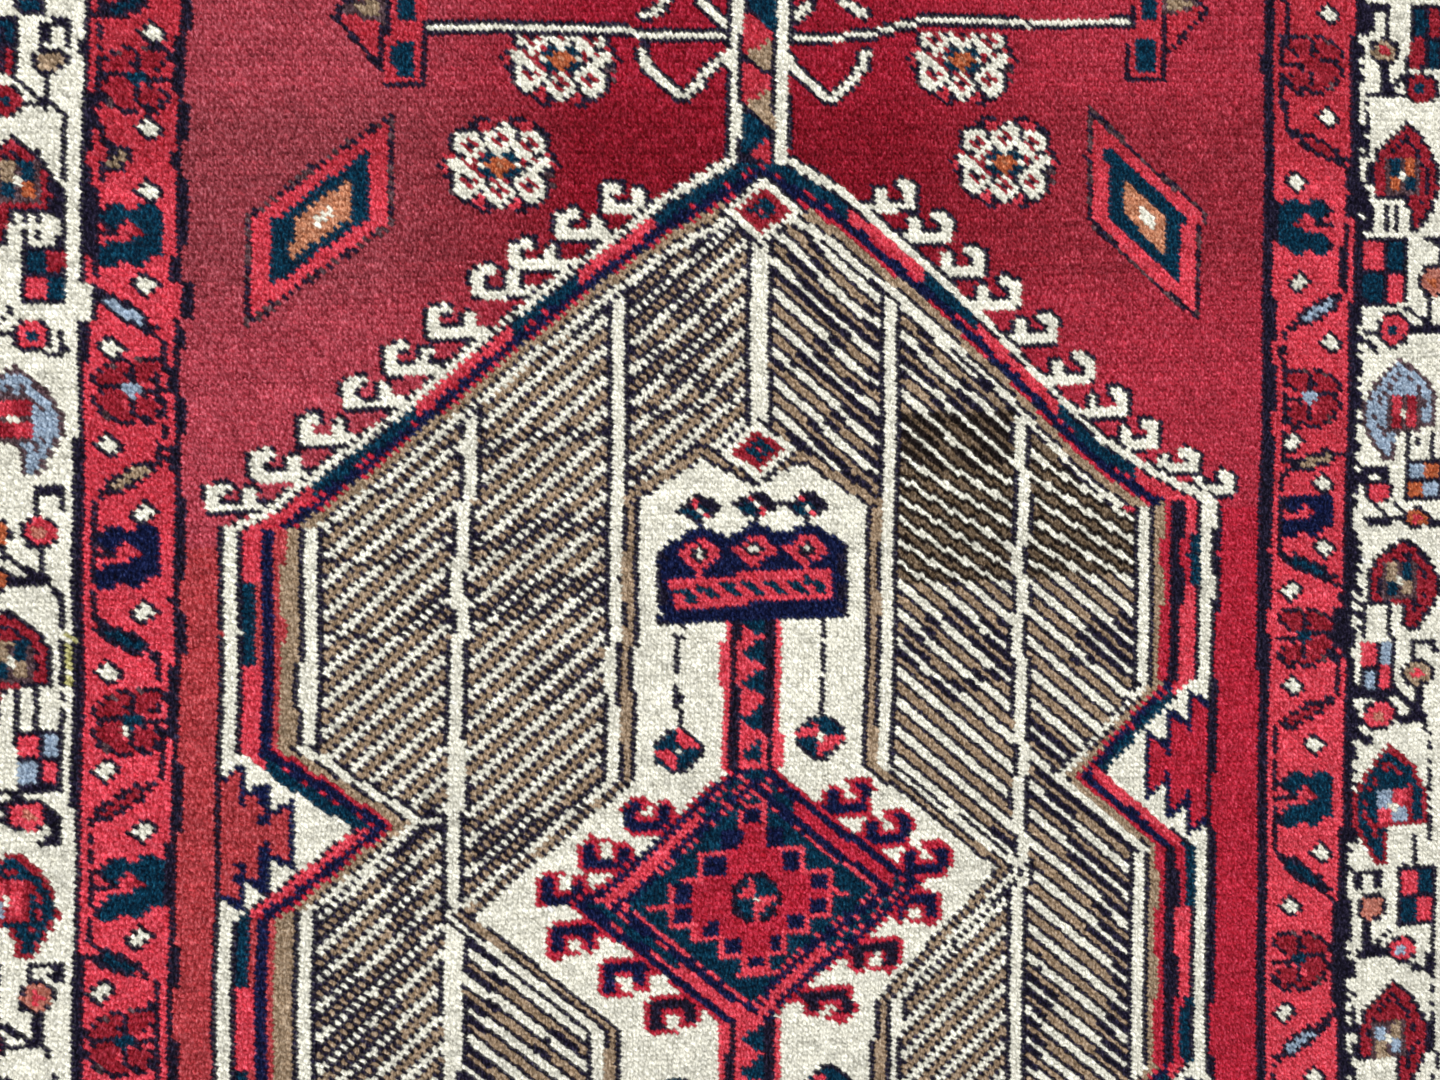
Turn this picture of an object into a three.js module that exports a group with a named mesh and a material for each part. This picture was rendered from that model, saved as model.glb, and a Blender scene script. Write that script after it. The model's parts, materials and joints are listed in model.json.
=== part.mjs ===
// A cut length of a hand-knotted wool runner rug, lying flat with its pile up.
//
// The rug is one cloth: warps and wefts form a thin foundation, and each knot ties a tuft of
// pile into it, so the whole length is one solid. Millimetres, +Z up. The origin is on the
// surface that the rug lies on, under the middle of its bounding box. +X runs along the rows
// of knots, across the runner, and +Y runs along the warps.

import * as THREE from "three";

// Knots and the size that they give the cloth
const knotsPerRow = 260;
const knotRows = 240;
const columnPitch = 3.4;
const rowPitch = 2.95;
const width = knotsPerRow * columnPitch;
const length = knotRows * rowPitch;

// The weave is racked: its rows climb to the right
const rackAngle = THREE.MathUtils.degToRad(2.95);

// Heights above the surface below
const foundationTop = 2.8;
const pileTop = 11;

// The pile surface swells a little, where the tufts are shorn less closely
const swell = { height: 0.3, wavesAcross: 2.5, wavesAlong: 1.8, phase: 0.7 };

// Section of the cut edge from the underside up: height, and how far the tufts lean out there
const edgeSection = [
  { z: 0, out: 0 },
  { z: foundationTop, out: 0 },
  { z: 5.2, out: 1.4 },
  { z: 8.6, out: 2.0 },
  { z: 10.4, out: 0.8 },
];

// Each cut edge wanders by two slow waves: height of each, waves along the edge, and phase
const edgeWaves = {
  left: { tall: 0.9, small: 0.5, waves: 1.6, phase: 0.3 },
  right: { tall: 1.0, small: 0.5, waves: 1.3, phase: 2.1 },
  bottom: { tall: 0.8, small: 0.4, waves: 2.2, phase: 1.2 },
  top: { tall: 0.9, small: 0.4, waves: 1.9, phase: 3.4 },
};
const smallWaveRatio = 3.7;

// Facets across and along the cloth
const facetsAcross = 28;
const facetsAlong = 22;

const wool = new THREE.MeshStandardMaterial({ color: 0xa3263a, roughness: 0.95, metalness: 0 });

// How far an edge strays outward at a fraction of the way along it
function edgeOffset({ tall, small, waves, phase }, fraction) {
  const angle = 2 * Math.PI * waves * fraction + phase;
  return tall * Math.sin(angle) + small * Math.sin(angle * smallWaveRatio);
}

// The place on plan of a point given by its fractions across and along the cloth
function placeOnPlan(across, along, out) {
  const left = edgeOffset(edgeWaves.left, along) + out;
  const right = edgeOffset(edgeWaves.right, along) + out;
  const bottom = edgeOffset(edgeWaves.bottom, across) + out;
  const top = edgeOffset(edgeWaves.top, across) + out;
  const u = (across - 0.5) * width - left * (1 - across) + right * across;
  const v = (along - 0.5) * length - bottom * (1 - along) + top * along;
  return [u * Math.cos(rackAngle), v + u * Math.sin(rackAngle)];
}

// Height of the pile surface away from the edge
function pileHeight(across, along) {
  const acrossWave = Math.sin(2 * Math.PI * swell.wavesAcross * across + swell.phase);
  const alongWave = Math.cos(2 * Math.PI * swell.wavesAlong * along - swell.phase);
  return pileTop + swell.height * acrossWave * alongWave;
}

// Fractions of the points round the outline, anticlockwise from the lower left corner
function outlineFractions() {
  const points = [];
  for (let i = 0; i < facetsAcross; i += 1) points.push([i / facetsAcross, 0]);
  for (let j = 0; j < facetsAlong; j += 1) points.push([1, j / facetsAlong]);
  for (let i = facetsAcross; i > 0; i -= 1) points.push([i / facetsAcross, 1]);
  for (let j = facetsAlong; j > 0; j -= 1) points.push([0, j / facetsAlong]);
  return points;
}

// The closed shell of the cloth: its underside, its cut edges and its pile surface
function clothGeometry() {
  const positions = [];
  const triangles = [];
  const outline = outlineFractions();

  const addPoint = (xy, z) => {
    positions.push(xy[0], xy[1], z);
    return positions.length / 3 - 1;
  };
  const addQuad = (a, b, c, d) => triangles.push(a, b, c, a, c, d);

  // Rings of the cut edge, from the underside up
  const rings = edgeSection.map(({ z, out }) =>
    outline.map(([across, along]) => addPoint(placeOnPlan(across, along, out), z)),
  );
  for (let level = 0; level + 1 < rings.length; level += 1) {
    outline.forEach((_, k) => {
      const next = (k + 1) % outline.length;
      addQuad(rings[level][k], rings[level][next], rings[level + 1][next], rings[level + 1][k]);
    });
  }

  // The flat underside, as a fan from its middle
  const middle = addPoint([0, 0], 0);
  outline.forEach((_, k) => {
    triangles.push(middle, rings[0][(k + 1) % outline.length], rings[0][k]);
  });

  // The pile surface, as a grid that ends on the top ring of the edge
  const rim = rings[rings.length - 1];
  const rimOut = edgeSection[edgeSection.length - 1].out;
  const rimIndex = new Map(outline.map(([across, along], k) => [`${across},${along}`, rim[k]]));
  const surfacePoint = (i, j) => {
    const across = i / facetsAcross;
    const along = j / facetsAlong;
    const onRim = rimIndex.get(`${across},${along}`);
    if (onRim !== undefined) return onRim;
    return addPoint(placeOnPlan(across, along, rimOut), pileHeight(across, along));
  };
  const surface = [];
  for (let j = 0; j <= facetsAlong; j += 1) {
    surface.push([]);
    for (let i = 0; i <= facetsAcross; i += 1) surface[j].push(surfacePoint(i, j));
  }
  for (let j = 0; j < facetsAlong; j += 1) {
    for (let i = 0; i < facetsAcross; i += 1) {
      addQuad(surface[j][i], surface[j][i + 1], surface[j + 1][i + 1], surface[j + 1][i]);
    }
  }

  const geometry = new THREE.BufferGeometry();
  geometry.setAttribute("position", new THREE.Float32BufferAttribute(positions, 3));
  geometry.setIndex(triangles);
  geometry.computeBoundingBox();
  return geometry;
}

const rugPiece = new THREE.Mesh(clothGeometry(), wool);
rugPiece.name = "rug_piece";

// Stand the middle of the bounding box over the origin
const box = rugPiece.geometry.boundingBox;
rugPiece.position.set(-(box.min.x + box.max.x) / 2, -(box.min.y + box.max.y) / 2, 0);

const rug = new THREE.Group();
rug.add(rugPiece);

export default rug;
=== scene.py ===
# A cut length of a hand-knotted wool runner rug, lying flat with its pile up.
#
# The cloth is knotted from a chart: every knot has a place, a wool and a tuft of cut pile.
# Metres, +Z up. +X runs along the rows of knots, across the runner, and +Y along the warps.

import json
import math

import bpy
import numpy as np
from mathutils import Matrix, Vector

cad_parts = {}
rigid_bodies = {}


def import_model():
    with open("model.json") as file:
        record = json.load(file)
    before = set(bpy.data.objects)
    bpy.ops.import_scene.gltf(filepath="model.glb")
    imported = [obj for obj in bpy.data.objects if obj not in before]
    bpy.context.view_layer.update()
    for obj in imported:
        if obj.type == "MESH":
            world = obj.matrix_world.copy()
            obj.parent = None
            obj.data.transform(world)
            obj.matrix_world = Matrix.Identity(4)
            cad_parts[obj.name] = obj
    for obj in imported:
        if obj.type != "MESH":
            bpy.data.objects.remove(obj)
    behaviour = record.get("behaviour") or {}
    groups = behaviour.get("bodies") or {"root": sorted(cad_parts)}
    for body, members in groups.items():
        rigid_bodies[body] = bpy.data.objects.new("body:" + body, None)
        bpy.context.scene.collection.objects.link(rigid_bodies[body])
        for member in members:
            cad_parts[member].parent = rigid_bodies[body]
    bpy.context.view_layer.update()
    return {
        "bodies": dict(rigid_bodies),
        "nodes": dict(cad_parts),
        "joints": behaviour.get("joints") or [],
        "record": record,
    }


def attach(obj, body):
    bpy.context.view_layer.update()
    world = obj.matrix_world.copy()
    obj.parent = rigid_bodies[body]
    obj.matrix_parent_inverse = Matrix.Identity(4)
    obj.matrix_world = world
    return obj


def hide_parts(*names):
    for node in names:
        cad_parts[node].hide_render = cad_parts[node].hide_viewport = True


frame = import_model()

MM = 0.001
rng = np.random.default_rng(41)

# The chart of knots: columns count to the right and rows count up, from the middle of the photo
FIRST_COLUMN, COLUMNS = -121, 260
FIRST_ROW, ROWS = -126, 240

# Dyed wools, in linear colour
WOOLS = {
    "field": (0.314, 0.0143, 0.033),
    "strip": (0.445, 0.0235, 0.049),
    "madder": (0.440, 0.0570, 0.068),
    "coral": (0.616, 0.060, 0.090),
    "brick": (0.291, 0.0187, 0.033),
    "ivory": (0.800, 0.782, 0.680),
    "camel": (0.350, 0.255, 0.172),
    "drab": (0.170, 0.120, 0.078),
    "rust": (0.420, 0.110, 0.045),
    "salmon": (0.473, 0.177, 0.134),
    "tan": (0.520, 0.225, 0.130),
    "navy": (0.0060, 0.0105, 0.0500),
    "ink": (0.0130, 0.0105, 0.0270),
    "umber": (0.0140, 0.0090, 0.0090),
    "smoke": (0.090, 0.052, 0.062),
    "teal": (0.0018, 0.0310, 0.0640),
    "sky": (0.300, 0.382, 0.491),
    "stain": (0.480, 0.450, 0.200),
}
NAMES = list(WOOLS)
# Past every column and row of the chart
FAR = 200
LETTERS = {
    "w": "ivory", "k": "ink", "n": "navy", "t": "teal", "r": "coral", "d": "brick",
    "c": "camel", "b": "sky", "o": "rust", "s": "salmon", "g": "smoke", "f": "field", "a": "tan",
}


def smooth_noise(count, spacing, size):
    """A wandering value for each of count knots, with a new random height every so many knots."""
    knots = np.arange(-1, count // spacing + 3)
    heights = rng.uniform(-size, size, len(knots))
    return np.interp(np.arange(count) / spacing, knots, heights)


# Knot centres, with the weaver's small drift in both directions
C, R = np.meshgrid(
    FIRST_COLUMN + 0.5 + np.arange(COLUMNS),
    FIRST_ROW + 0.5 + np.arange(ROWS),
)
C = C + smooth_noise(ROWS, 7, 0.26)[:, None]
R = R + smooth_noise(COLUMNS, 9, 0.28)[None, :]
# The lower rows run a little high, and to the right in the middle
amid = np.interp(C, [-45, -30, 60, 75], [0, 1, 1, 0])
C = C - amid * np.interp(R, [-126, -98, -56, -28], [0.9, 0.8, 0.35, 0.1])
R = R - np.interp(R, [-126, -98, -56, -28], [0.9, 0.8, 0.45, 0])
chart = np.zeros(C.shape, dtype=int)


# Masks of knots
def box(c0, c1, r0, r1):
    return (C >= c0) & (C < c1) & (R >= r0) & (R < r1)


def oval(c, r, half_c, half_r):
    return ((C - c) / half_c) ** 2 + ((R - r) / half_r) ** 2 <= 1


def diamond(c, r, half_c, half_r):
    return np.abs(C - c) / half_c + np.abs(R - r) / half_r <= 1


def distance(points):
    """How far each knot is from a bent line."""
    best = np.full(C.shape, np.inf)
    for (c0, r0), (c1, r1) in zip(points, points[1:]):
        dc, dr = c1 - c0, r1 - r0
        t = ((C - c0) * dc + (R - r0) * dr) / max(dc * dc + dr * dr, 1e-9)
        t = np.clip(t, 0, 1)
        best = np.minimum(best, np.hypot(C - c0 - t * dc, R - r0 - t * dr))
    return best


def along(points, width):
    return distance(points) <= width / 2


def inside(points):
    """Whether each knot is inside a closed outline."""
    hit = np.zeros(C.shape, dtype=bool)
    for (c0, r0), (c1, r1) in zip(points, points[1:] + points[:1]):
        if r0 == r1:
            continue
        crosses = (R > min(r0, r1)) & (R <= max(r0, r1))
        hit ^= crosses & (C < c0 + (R - r0) * (c1 - c0) / (r1 - r0))
    return hit


def broken(mask, share):
    """Drops a share of a mask's knots, as where a thin line is lost in its neighbours."""
    return mask & (rng.random(C.shape) >= share)


# Ways to lay wool
def paint(mask, wool):
    chart[mask] = NAMES.index(wool)


def line(points, wool, width=1.2, share=0.0):
    paint(broken(along(points, width), share), wool)


def edged_line(points, wool, width, edge, edge_width):
    paint(along(points, width + 2 * edge_width), edge)
    paint(along(points, width), wool)


def patch(points, wool, edge=None, edge_width=1.2):
    paint(inside(points), wool)
    if edge:
        line(points + points[:1], edge, edge_width)


def spot(c, r, half_c, half_r, wool, edge=None, edge_width=0.8):
    if edge:
        paint(oval(c, r, half_c + edge_width, half_r + edge_width), edge)
    paint(oval(c, r, half_c, half_r), wool)


def stamp(motif, c, r, flip_c=False, flip_r=False, swap=None):
    """Copies a small chart onto the cloth, centred on a place."""
    lines = motif[::-1] if flip_r else motif
    left = int(round(c - len(motif[0]) / 2)) - FIRST_COLUMN
    top = int(round(r + len(motif) / 2)) - FIRST_ROW - 1
    for k, text in enumerate(lines):
        for j, letter in enumerate(text[::-1] if flip_c else text):
            letter = (swap or {}).get(letter, letter)
            row, column = top - k, left + j
            if letter == "." or not (0 <= row < ROWS and 0 <= column < COLUMNS):
                continue
            chart[row, column] = NAMES.index(LETTERS[letter])


# Small motifs, given as charts: one letter for each knot
STAR = [
    "..k..",
    ".kwk.",
    "kwwwk",
    ".kwwk",
    "..kk.",
]
GUARD_ROSETTE = [
    "....kk.gkkk.",
    "..kgddkddddk",
    ".kddddkddddk",
    "kddddkkdddk.",
    "kdddddkddk..",
    ".kkkkttt....",
    ".kdddtttkkkk",
    "kdddddtrk...",
    "kddddrkdddk.",
    ".kdddrkddddk",
    ".kgdddkdddkk",
    "..gkdddkkdk.",
    "....kkk.kk..",
]
BUTTERFLY = [
    "..ktt..ttt.",
    ".kttttttttt",
    "ktttttttttt",
    ".ktttrttttt",
    "..ktrrdtttt",
    "kkkkrdrdttt",
    "....rrttttt",
    "..ttttttttt",
    ".tttttttttt",
    "ktttttttttt",
    "ktttttttt..",
    ".ttt..tt...",
]
FIELD_ROSETTE = [
    "......kkk...kkk......",
    ".....kkrr.kwk.rrk....",
    "...kkkkrrkwwwkrrkk...",
    "..kwwwwkwwdwwkwwwkk..",
    "..kwwdwkwdkdwkwdwwk..",
    "..kwdkdwwwdwwwdkdwk..",
    "..kwwdwwkwwwkwwdwwk..",
    ".rrkkwwdttwttwwwkkrk.",
    ".kwwdwdttooottdwdwwk.",
    "krwwwddwooaoowdkwwwrk",
    ".rkwwwdttooottkwwwkk.",
    ".kkwkwwdttottkwwwkgg.",
    "..kwdkdwkdwdkwwdwwk..",
    "..kwwdwwkwdwkwdkdwkg.",
    "..gwwwwkwdkdwkwdwwk..",
    "...kwwkrwwdwwkwwwwk..",
    "....kkrrkwwwkrkwwk...",
    "......krkkwkrrkkk....",
    ".......kk....kk......",
]


def jogged(rows_and_shifts):
    """A sideways shift by row, in steps: the first row of each step going up, and its shift."""
    shift = np.zeros(C.shape)
    for row, value in rows_and_shifts:
        shift = np.where(R >= row, value, shift)
    return shift


def bands(across, table):
    """Paints stripes side by side: where each starts and ends along a measure, and its wool."""
    for low, high, wool, share in table:
        paint(broken((across >= low) & (across < high), share), wool)


# Grounds of the borders, the guards and the field
# Beside the medallion, past this column and below this row, the field is of other reds
FIELD_HALF, SHOULDER_ROW = 60, 3


def paint_grounds():
    paint(C < FAR, "field")
    paint((C < -FIELD_HALF) & (R < SHOULDER_ROW), "madder")
    paint((C > FIELD_HALF) & (R < SHOULDER_ROW), "strip")
    left = C - jogged([(47, 1.9), (54, 0)])
    bands(left, [(-120, -91.4, "coral", 0), (-91.4, -89.5, "ink", 0)])
    outer = left - np.interp(R, [-100, -56, -40, 20, 40, 90, 110], [0.9, 0.4, 0, 0, 0.7, 0.7, 0])
    bands(outer, [(-FAR, -106.7, "ivory", 0), (-106.7, -105.1, "ink", 0)])
    inner = C - np.interp(R, [-40, -20, 60, 75], [0.7, 0, 0, -0.5])
    bands(inner, [(100.2, 102.6, "ink", 0), (102.6, FAR, "coral", 0)])
    outer = C - np.interp(R, [-80, -56, -40, -20, 40, 56, 66, 114], [-0.4, 1.0, 0.9, 0, 0, 0.9, 0, 0.3])
    bands(outer, [(117.2, 119.2, "ink", 0), (119.2, 120.1, "ink", 0.45), (119.2, FAR, "ivory", 0)])
    paint(broken((outer >= 119.2) & (outer < 120.1), 0.45), "ink")


# Guards
def leaf(c, r, half_c, half_r, wool):
    """A slanting leaf; half_r is below zero where it falls to the right."""
    tips = [(c - half_c, r - half_r), (c + half_c, r + half_r)]
    edged_line(tips, wool, 1.5, "ink", 1.0)
    stems = [(c - 2.4 * half_c, r - 2 * half_r), (c + 2.4 * half_c, r + 2 * half_r)]
    line(stems, "ink", 0.9, 0.1)
    line(tips, wool, 1.5)


# Vine of the left guard, from the top down: column and row
LEFT_VINE = [
    (-103.3, 114), (-103.3, 84), (-101, 78), (-103.3, 72), (-103.3, 53), (-99, 48.5), (-92.9, 43),
    (-92.9, 20),
    (-98, 17), (-103.6, 13), (-103.6, -9), (-99, -13.7), (-92.9, -18), (-92.9, -41), (-99, -45),
    (-103.5, -49), (-103.5, -71), (-99, -76), (-92.9, -80), (-92.9, -103), (-98, -107), (-103.3, -112),
    (-103.3, -126),
]


# Vine of the right guard, in the same way
RIGHT_VINE = [
    (104, 114), (104, 84), (110, 79), (116.2, 75), (116.2, 48), (111, 44.5), (104.2, 39), (104.2, 12),
    (111, 12), (104.2, 9), (104.2, -7), (110, -10.5), (116.2, -15), (116.2, -38), (110, -42),
    (104.4, -46), (104.4, -72), (109.5, -76), (116.4, -83), (116.4, -107), (110, -112.5),
    (104.4, -117), (104.4, -126),
]


# Leaves on the vines: column, row, half width, half height and wool
LEAVES = [
    (-99.5, 106.5, 2, 1.2, "teal"), (-100, 77.3, 0.8, 0.9, "camel"), (-98.5, 48.5, 2.2, -1.6, "sky"),
    (-98, 17.2, 1.9, 1.6, "camel"), (-99, -13.7, 2.2, -1.3, "teal"), (-99, -45, 2.4, 1.7, "brick"),
    (-99, -75.8, 1.9, -1.0, "teal"), (-98, -107, 2.2, 1.6, "camel"),
    (111, 79, 2.6, -1.5, "brick"), (111.2, 44.3, 2.2, 1.6, "sky"), (111, 12.2, 2.4, 0.8, "camel"),
    (110, -10.4, 2.4, -1.2, "teal"), (110, -42, 2.4, 1.5, "brick"), (110, -76.5, 2.2, -1.8, "teal"),
    (110, -112.6, 2.2, 1.6, "sky"),
]


# Stars of the guards: column and row
STARS = [
    (-96, 101.5), (-95.8, 83.2), (-96, 71.8), (-95, 54), (-100.8, 42), (-101.2, 23.3), (-95.7, 10.7),
    (-95.5, -8), (-101, -19.5), (-101, -39), (-96, -51), (-96, -70.5), (-101, -81), (-101, -101),
    (-96, -113),
    (113, 107.5), (113, 85.5), (107, 72), (107.3, 50.5), (113.3, 37), (107, 16.2), (113, 7.3),
    (113.3, -6.2), (107, -15.5), (107.2, -35.8), (112.9, -48.5), (113.5, -71.2), (107.3, -83),
    (107, -105.5), (112.7, -119.5),
]


# Rosettes of the guards: column, row and the letter of the heart's wool
GUARD_ROSETTES = [
    (-98.5, 92.5, "t"), (-97.8, 33.2, "b"), (-98.5, -29.3, "t"), (-98.5, -91, "t"),
    (110.5, 96.5, "d"), (110.5, 26, "b"), (110.3, -25.5, "t"), (110.3, -94, "t"),
]


# Winged figures: column, row, letter of the wool, and whether they open right
BUTTERFLIES = [
    (-97.8, 62.8, "t", False), (-97.6, 1.6, "n", False), (-97.4, -60.6, "t", False),
    (109.5, 61.5, "t", True), (111, 0.4, "n", False), (111.5, -60, "t", False),
]


def paint_guards():
    line(LEFT_VINE, "ink", 1.1, 0.1)
    line(RIGHT_VINE, "ink", 1.1, 0.1)
    for c, r, half_c, half_r, wool in LEAVES:
        leaf(c, r, half_c, half_r, wool)
    for c, r in STARS:
        stamp(STAR, c, r, flip_c=int(r) % 2 == 0, flip_r=int(r) % 3 == 0)
    for c, r, heart in GUARD_ROSETTES:
        stamp(GUARD_ROSETTE, c, r, flip_c=c > 0, swap={"t": heart})
    spot(-98.4, -31, 0.8, 0.8, "ivory")
    for c, r, wool, opens_right in BUTTERFLIES:
        motif = BUTTERFLY if abs(r) > 10 or c < 0 else BUTTERFLY[1:5] + BUTTERFLY[6:7] + BUTTERFLY[8:12]
        stamp(motif, c - (0.5 if c < 0 else 1.0), r, flip_c=opens_right, swap={"t": wool})


# Ivory borders
def boteh(c, apex, half_width, height, tail_right, ground, lining, wools, heart_r):
    """A leaf-shaped figure, with a flat shoulder on one side and its tail on the other."""
    side = 1 if tail_right else -1
    shape = [
        (0, 0), (0.38, -0.11), (0.72, -0.25), (0.97, -0.42), (1, -0.62), (0.72, -0.82), (0.42, -1),
        (0.1, -1), (-0.02, -0.72), (-0.98, -0.7), (-1, -0.4), (-0.72, -0.2), (-0.35, -0.1),
    ]
    outline = [(c + side * half_width * x, apex + height * y) for x, y in shape]
    paint(inside(outline), ground)
    depth = np.where(inside(outline), distance(outline + outline[:1]), 99)
    paint(depth < 0.9, lining)
    paint(broken((depth > 2.4) & (depth < 3.2), 0.2), lining)
    # Four squares at its heart
    frame = "brick" if lining == "brick" else "smoke"
    heart_c = c - 0.12 * side * half_width
    paint(box(heart_c - 3.4, heart_c + 3.4, heart_r - 4.2, heart_r + 4.2), frame)
    for k, wool in enumerate(wools):
        left = heart_c - 2.7 if k % 2 == 0 else heart_c + 0.3
        low = heart_r + 0.3 if k < 2 else heart_r - 3.5
        paint(box(left, left + 2.4, low, low + 3.2), wool)
    paint(diamond(heart_c, heart_r, 1.1, 1.1), "ivory")


def checker(c0, c1, r0, r1, wools):
    """Four squares in a dark frame: upper left, upper right, lower left and lower right."""
    paint(box(c0, c1, r0, r1), "ink")
    middle_c, middle_r = (c0 + c1) / 2, (r0 + r1) / 2
    places = [
        (c0 + 0.8, middle_c, middle_r + 0.4, r1 - 0.8), (middle_c + 0.5, c1 - 0.7, middle_r + 0.4, r1 - 0.8),
        (c0 + 0.8, middle_c, r0 + 0.8, middle_r - 0.4), (middle_c + 0.5, c1 - 0.7, r0 + 0.8, middle_r - 0.4),
    ]
    for place, wool in zip(places, wools):
        paint(box(*place), wool)


# Dark strokes of the ivory borders: points, width and the share of knots left out
BORDER_STROKES = [
    # Left border, from the top
    ([(-117, 93), (-112.5, 88.5)], 1.1, 0), ([(-111.2, 93.5), (-111.8, 87)], 1.7, 0),
    ([(-117, 87.4), (-110.5, 87.4)], 1.8, 0), ([(-110.5, 87.8), (-108.2, 84), (-108.4, 56)], 0.9, 0.15),
    ([(-112.3, 70), (-112.3, 62)], 0.9, 0.1), ([(-109.7, 72), (-109.7, 61)], 0.9, 0.2),
    ([(-114.6, 66), (-114.6, 61)], 0.9, 0.1),
    ([(-118.5, 44.5), (-115.5, 44.5)], 1.8, 0), ([(-116, 49.5), (-118, 46.5)], 0.9, 0),
    ([(-108.6, 44.5), (-108.2, 41), (-110.6, 40.3)], 1.5, 0),
    ([(-112.4, 11), (-112.4, 15), (-108.6, 15), (-108.8, 11.5)], 1.4, 0),
    ([(-112, 98), (-112, 102.7), (-108.4, 102.7), (-108.4, 98.5)], 1.4, 0),
    ([(-111.5, 5), (-111.5, -1.2)], 1.5, 0), ([(-117, -1.9), (-110.8, -1.9)], 1.6, 0),
    ([(-118, 3.2), (-112.4, -1)], 0.9, 0), ([(-110.6, -2.4), (-108.6, -5), (-108.4, -30)], 0.9, 0.15),
    ([(-115.2, -21.5), (-115.2, -30)], 0.9, 0), ([(-112.7, -21.5), (-112.7, -30)], 0.9, 0),
    ([(-118, -41.9), (-108.2, -41.9)], 1.0, 0), ([(-118, -47), (-116, -47)], 1.6, 0),
    ([(-109.4, -46), (-109, -51.4), (-111, -51.6)], 1.6, 0), ([(-117.8, -44.5), (-115, -43)], 1.0, 0),
    ([(-112.4, -79), (-112.4, -75.2), (-107.9, -75.2), (-107.9, -78)], 1.5, 0),
    ([(-110, -77.3), (-109.4, -77.3)], 0.9, 0), ([(-110.8, -84), (-110.8, -90)], 1.6, 0),
    ([(-116.5, -90.6), (-110, -90.6)], 1.1, 0), ([(-117, -85.5), (-112.5, -89.5)], 0.9, 0),
    ([(-110, -90.8), (-108.4, -93.4), (-108.2, -126)], 0.9, 0.15),
    ([(-117.4, -74), (-117.4, -92)], 1.2, 0),
    # Right border, from the top
    ([(120.8, 104), (120.8, 109), (124.2, 109), (124.2, 103.5)], 1.4, 0),
    ([(124.3, 97.5), (124.3, 91)], 1.6, 0), ([(129, 95), (125.2, 91.6)], 1.1, 0),
    ([(121.2, 90.6), (128.5, 90.6)], 1.3, 0), ([(121.2, 90.4), (120.6, 86), (120.6, 62)], 0.9, 0.15),
    ([(121.7, 67), (121.7, 61)], 0.9, 0), ([(124.2, 67), (124.2, 61)], 0.9, 0),
    ([(126.7, 67), (126.7, 61)], 0.9, 0),
    ([(132.4, 59), (135.5, 59), (135.5, 55)], 1.2, 0), ([(133.3, 47), (133.3, 41.5)], 1.2, 0),
    ([(128, 45), (133, 41.5)], 0.9, 0), ([(120.4, 39.8), (123, 39.8)], 1.4, 0),
    ([(129.5, 39.8), (136, 39.8)], 1.8, 0),
    ([(120.6, 37.8), (123, 35.3)], 1.4, 0),
    ([(129.3, 17), (129.3, 11.5)], 0.9, 0), ([(132, 17), (132, 11.5)], 0.9, 0),
    ([(134.6, 17), (134.6, 11.5)], 0.9, 0),
    ([(120.8, 7.5), (121, 10.2), (124.8, 10.2), (125.2, 7)], 1.4, 0),
    ([(122, -0.8), (129, -0.8)], 1.6, 0),
    ([(123.4, 2.8), (125.5, 0)], 1.0, 0), ([(127.5, 2.4), (129.5, 0)], 0.9, 0),
    ([(134, -1.4), (137, -2.4)], 2.0, 0),
    ([(121.7, -18.5), (121.7, -26)], 0.9, 0), ([(124.2, -18.5), (124.2, -26)], 0.9, 0),
    ([(126.8, -18.5), (126.8, -26)], 0.9, 0),
    ([(131.4, -31), (131.4, -27.8), (136, -27.8), (136.2, -30)], 1.2, 0),
    ([(120, -38.2), (129, -38.4), (131.2, -41), (131.4, -44)], 1.2, 0),
    ([(120.2, -44.4), (122.2, -44.6)], 1.8, 0),
    ([(129, -44), (134, -44.2)], 2.0, 0), ([(133.3, -37), (133.3, -43.5)], 2.0, 0),
    ([(120.4, -47.2), (123, -48)], 1.9, 0), ([(134, -45.4), (135.8, -49), (136, -74)], 0.9, 0.25),
    ([(130, -70.5), (130, -77)], 0.9, 0), ([(132.5, -70.5), (132.5, -77)], 0.9, 0),
    ([(120.8, -80), (120.8, -77.4), (124.8, -77.4), (124.8, -80.4)], 1.4, 0),
    ([(123.3, -88), (123.3, -94)], 1.8, 0), ([(127.6, -90.4), (124.4, -93.8)], 1.0, 0),
    ([(121, -94.7), (127.5, -94.7)], 1.4, 0), ([(132.6, -98.8), (135.7, -99.9), (135.7, -96.2)], 1.6, 0),
    ([(136.6, -90), (137, -126)], 1.0, 0.1), ([(120.6, -96), (120.6, -126)], 0.9, 0.35),
    ([(120.7, -5), (120.9, -24)], 0.9, 0.3), ([(120.4, -50), (120.4, -70)], 0.8, 0.6),
]


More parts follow.
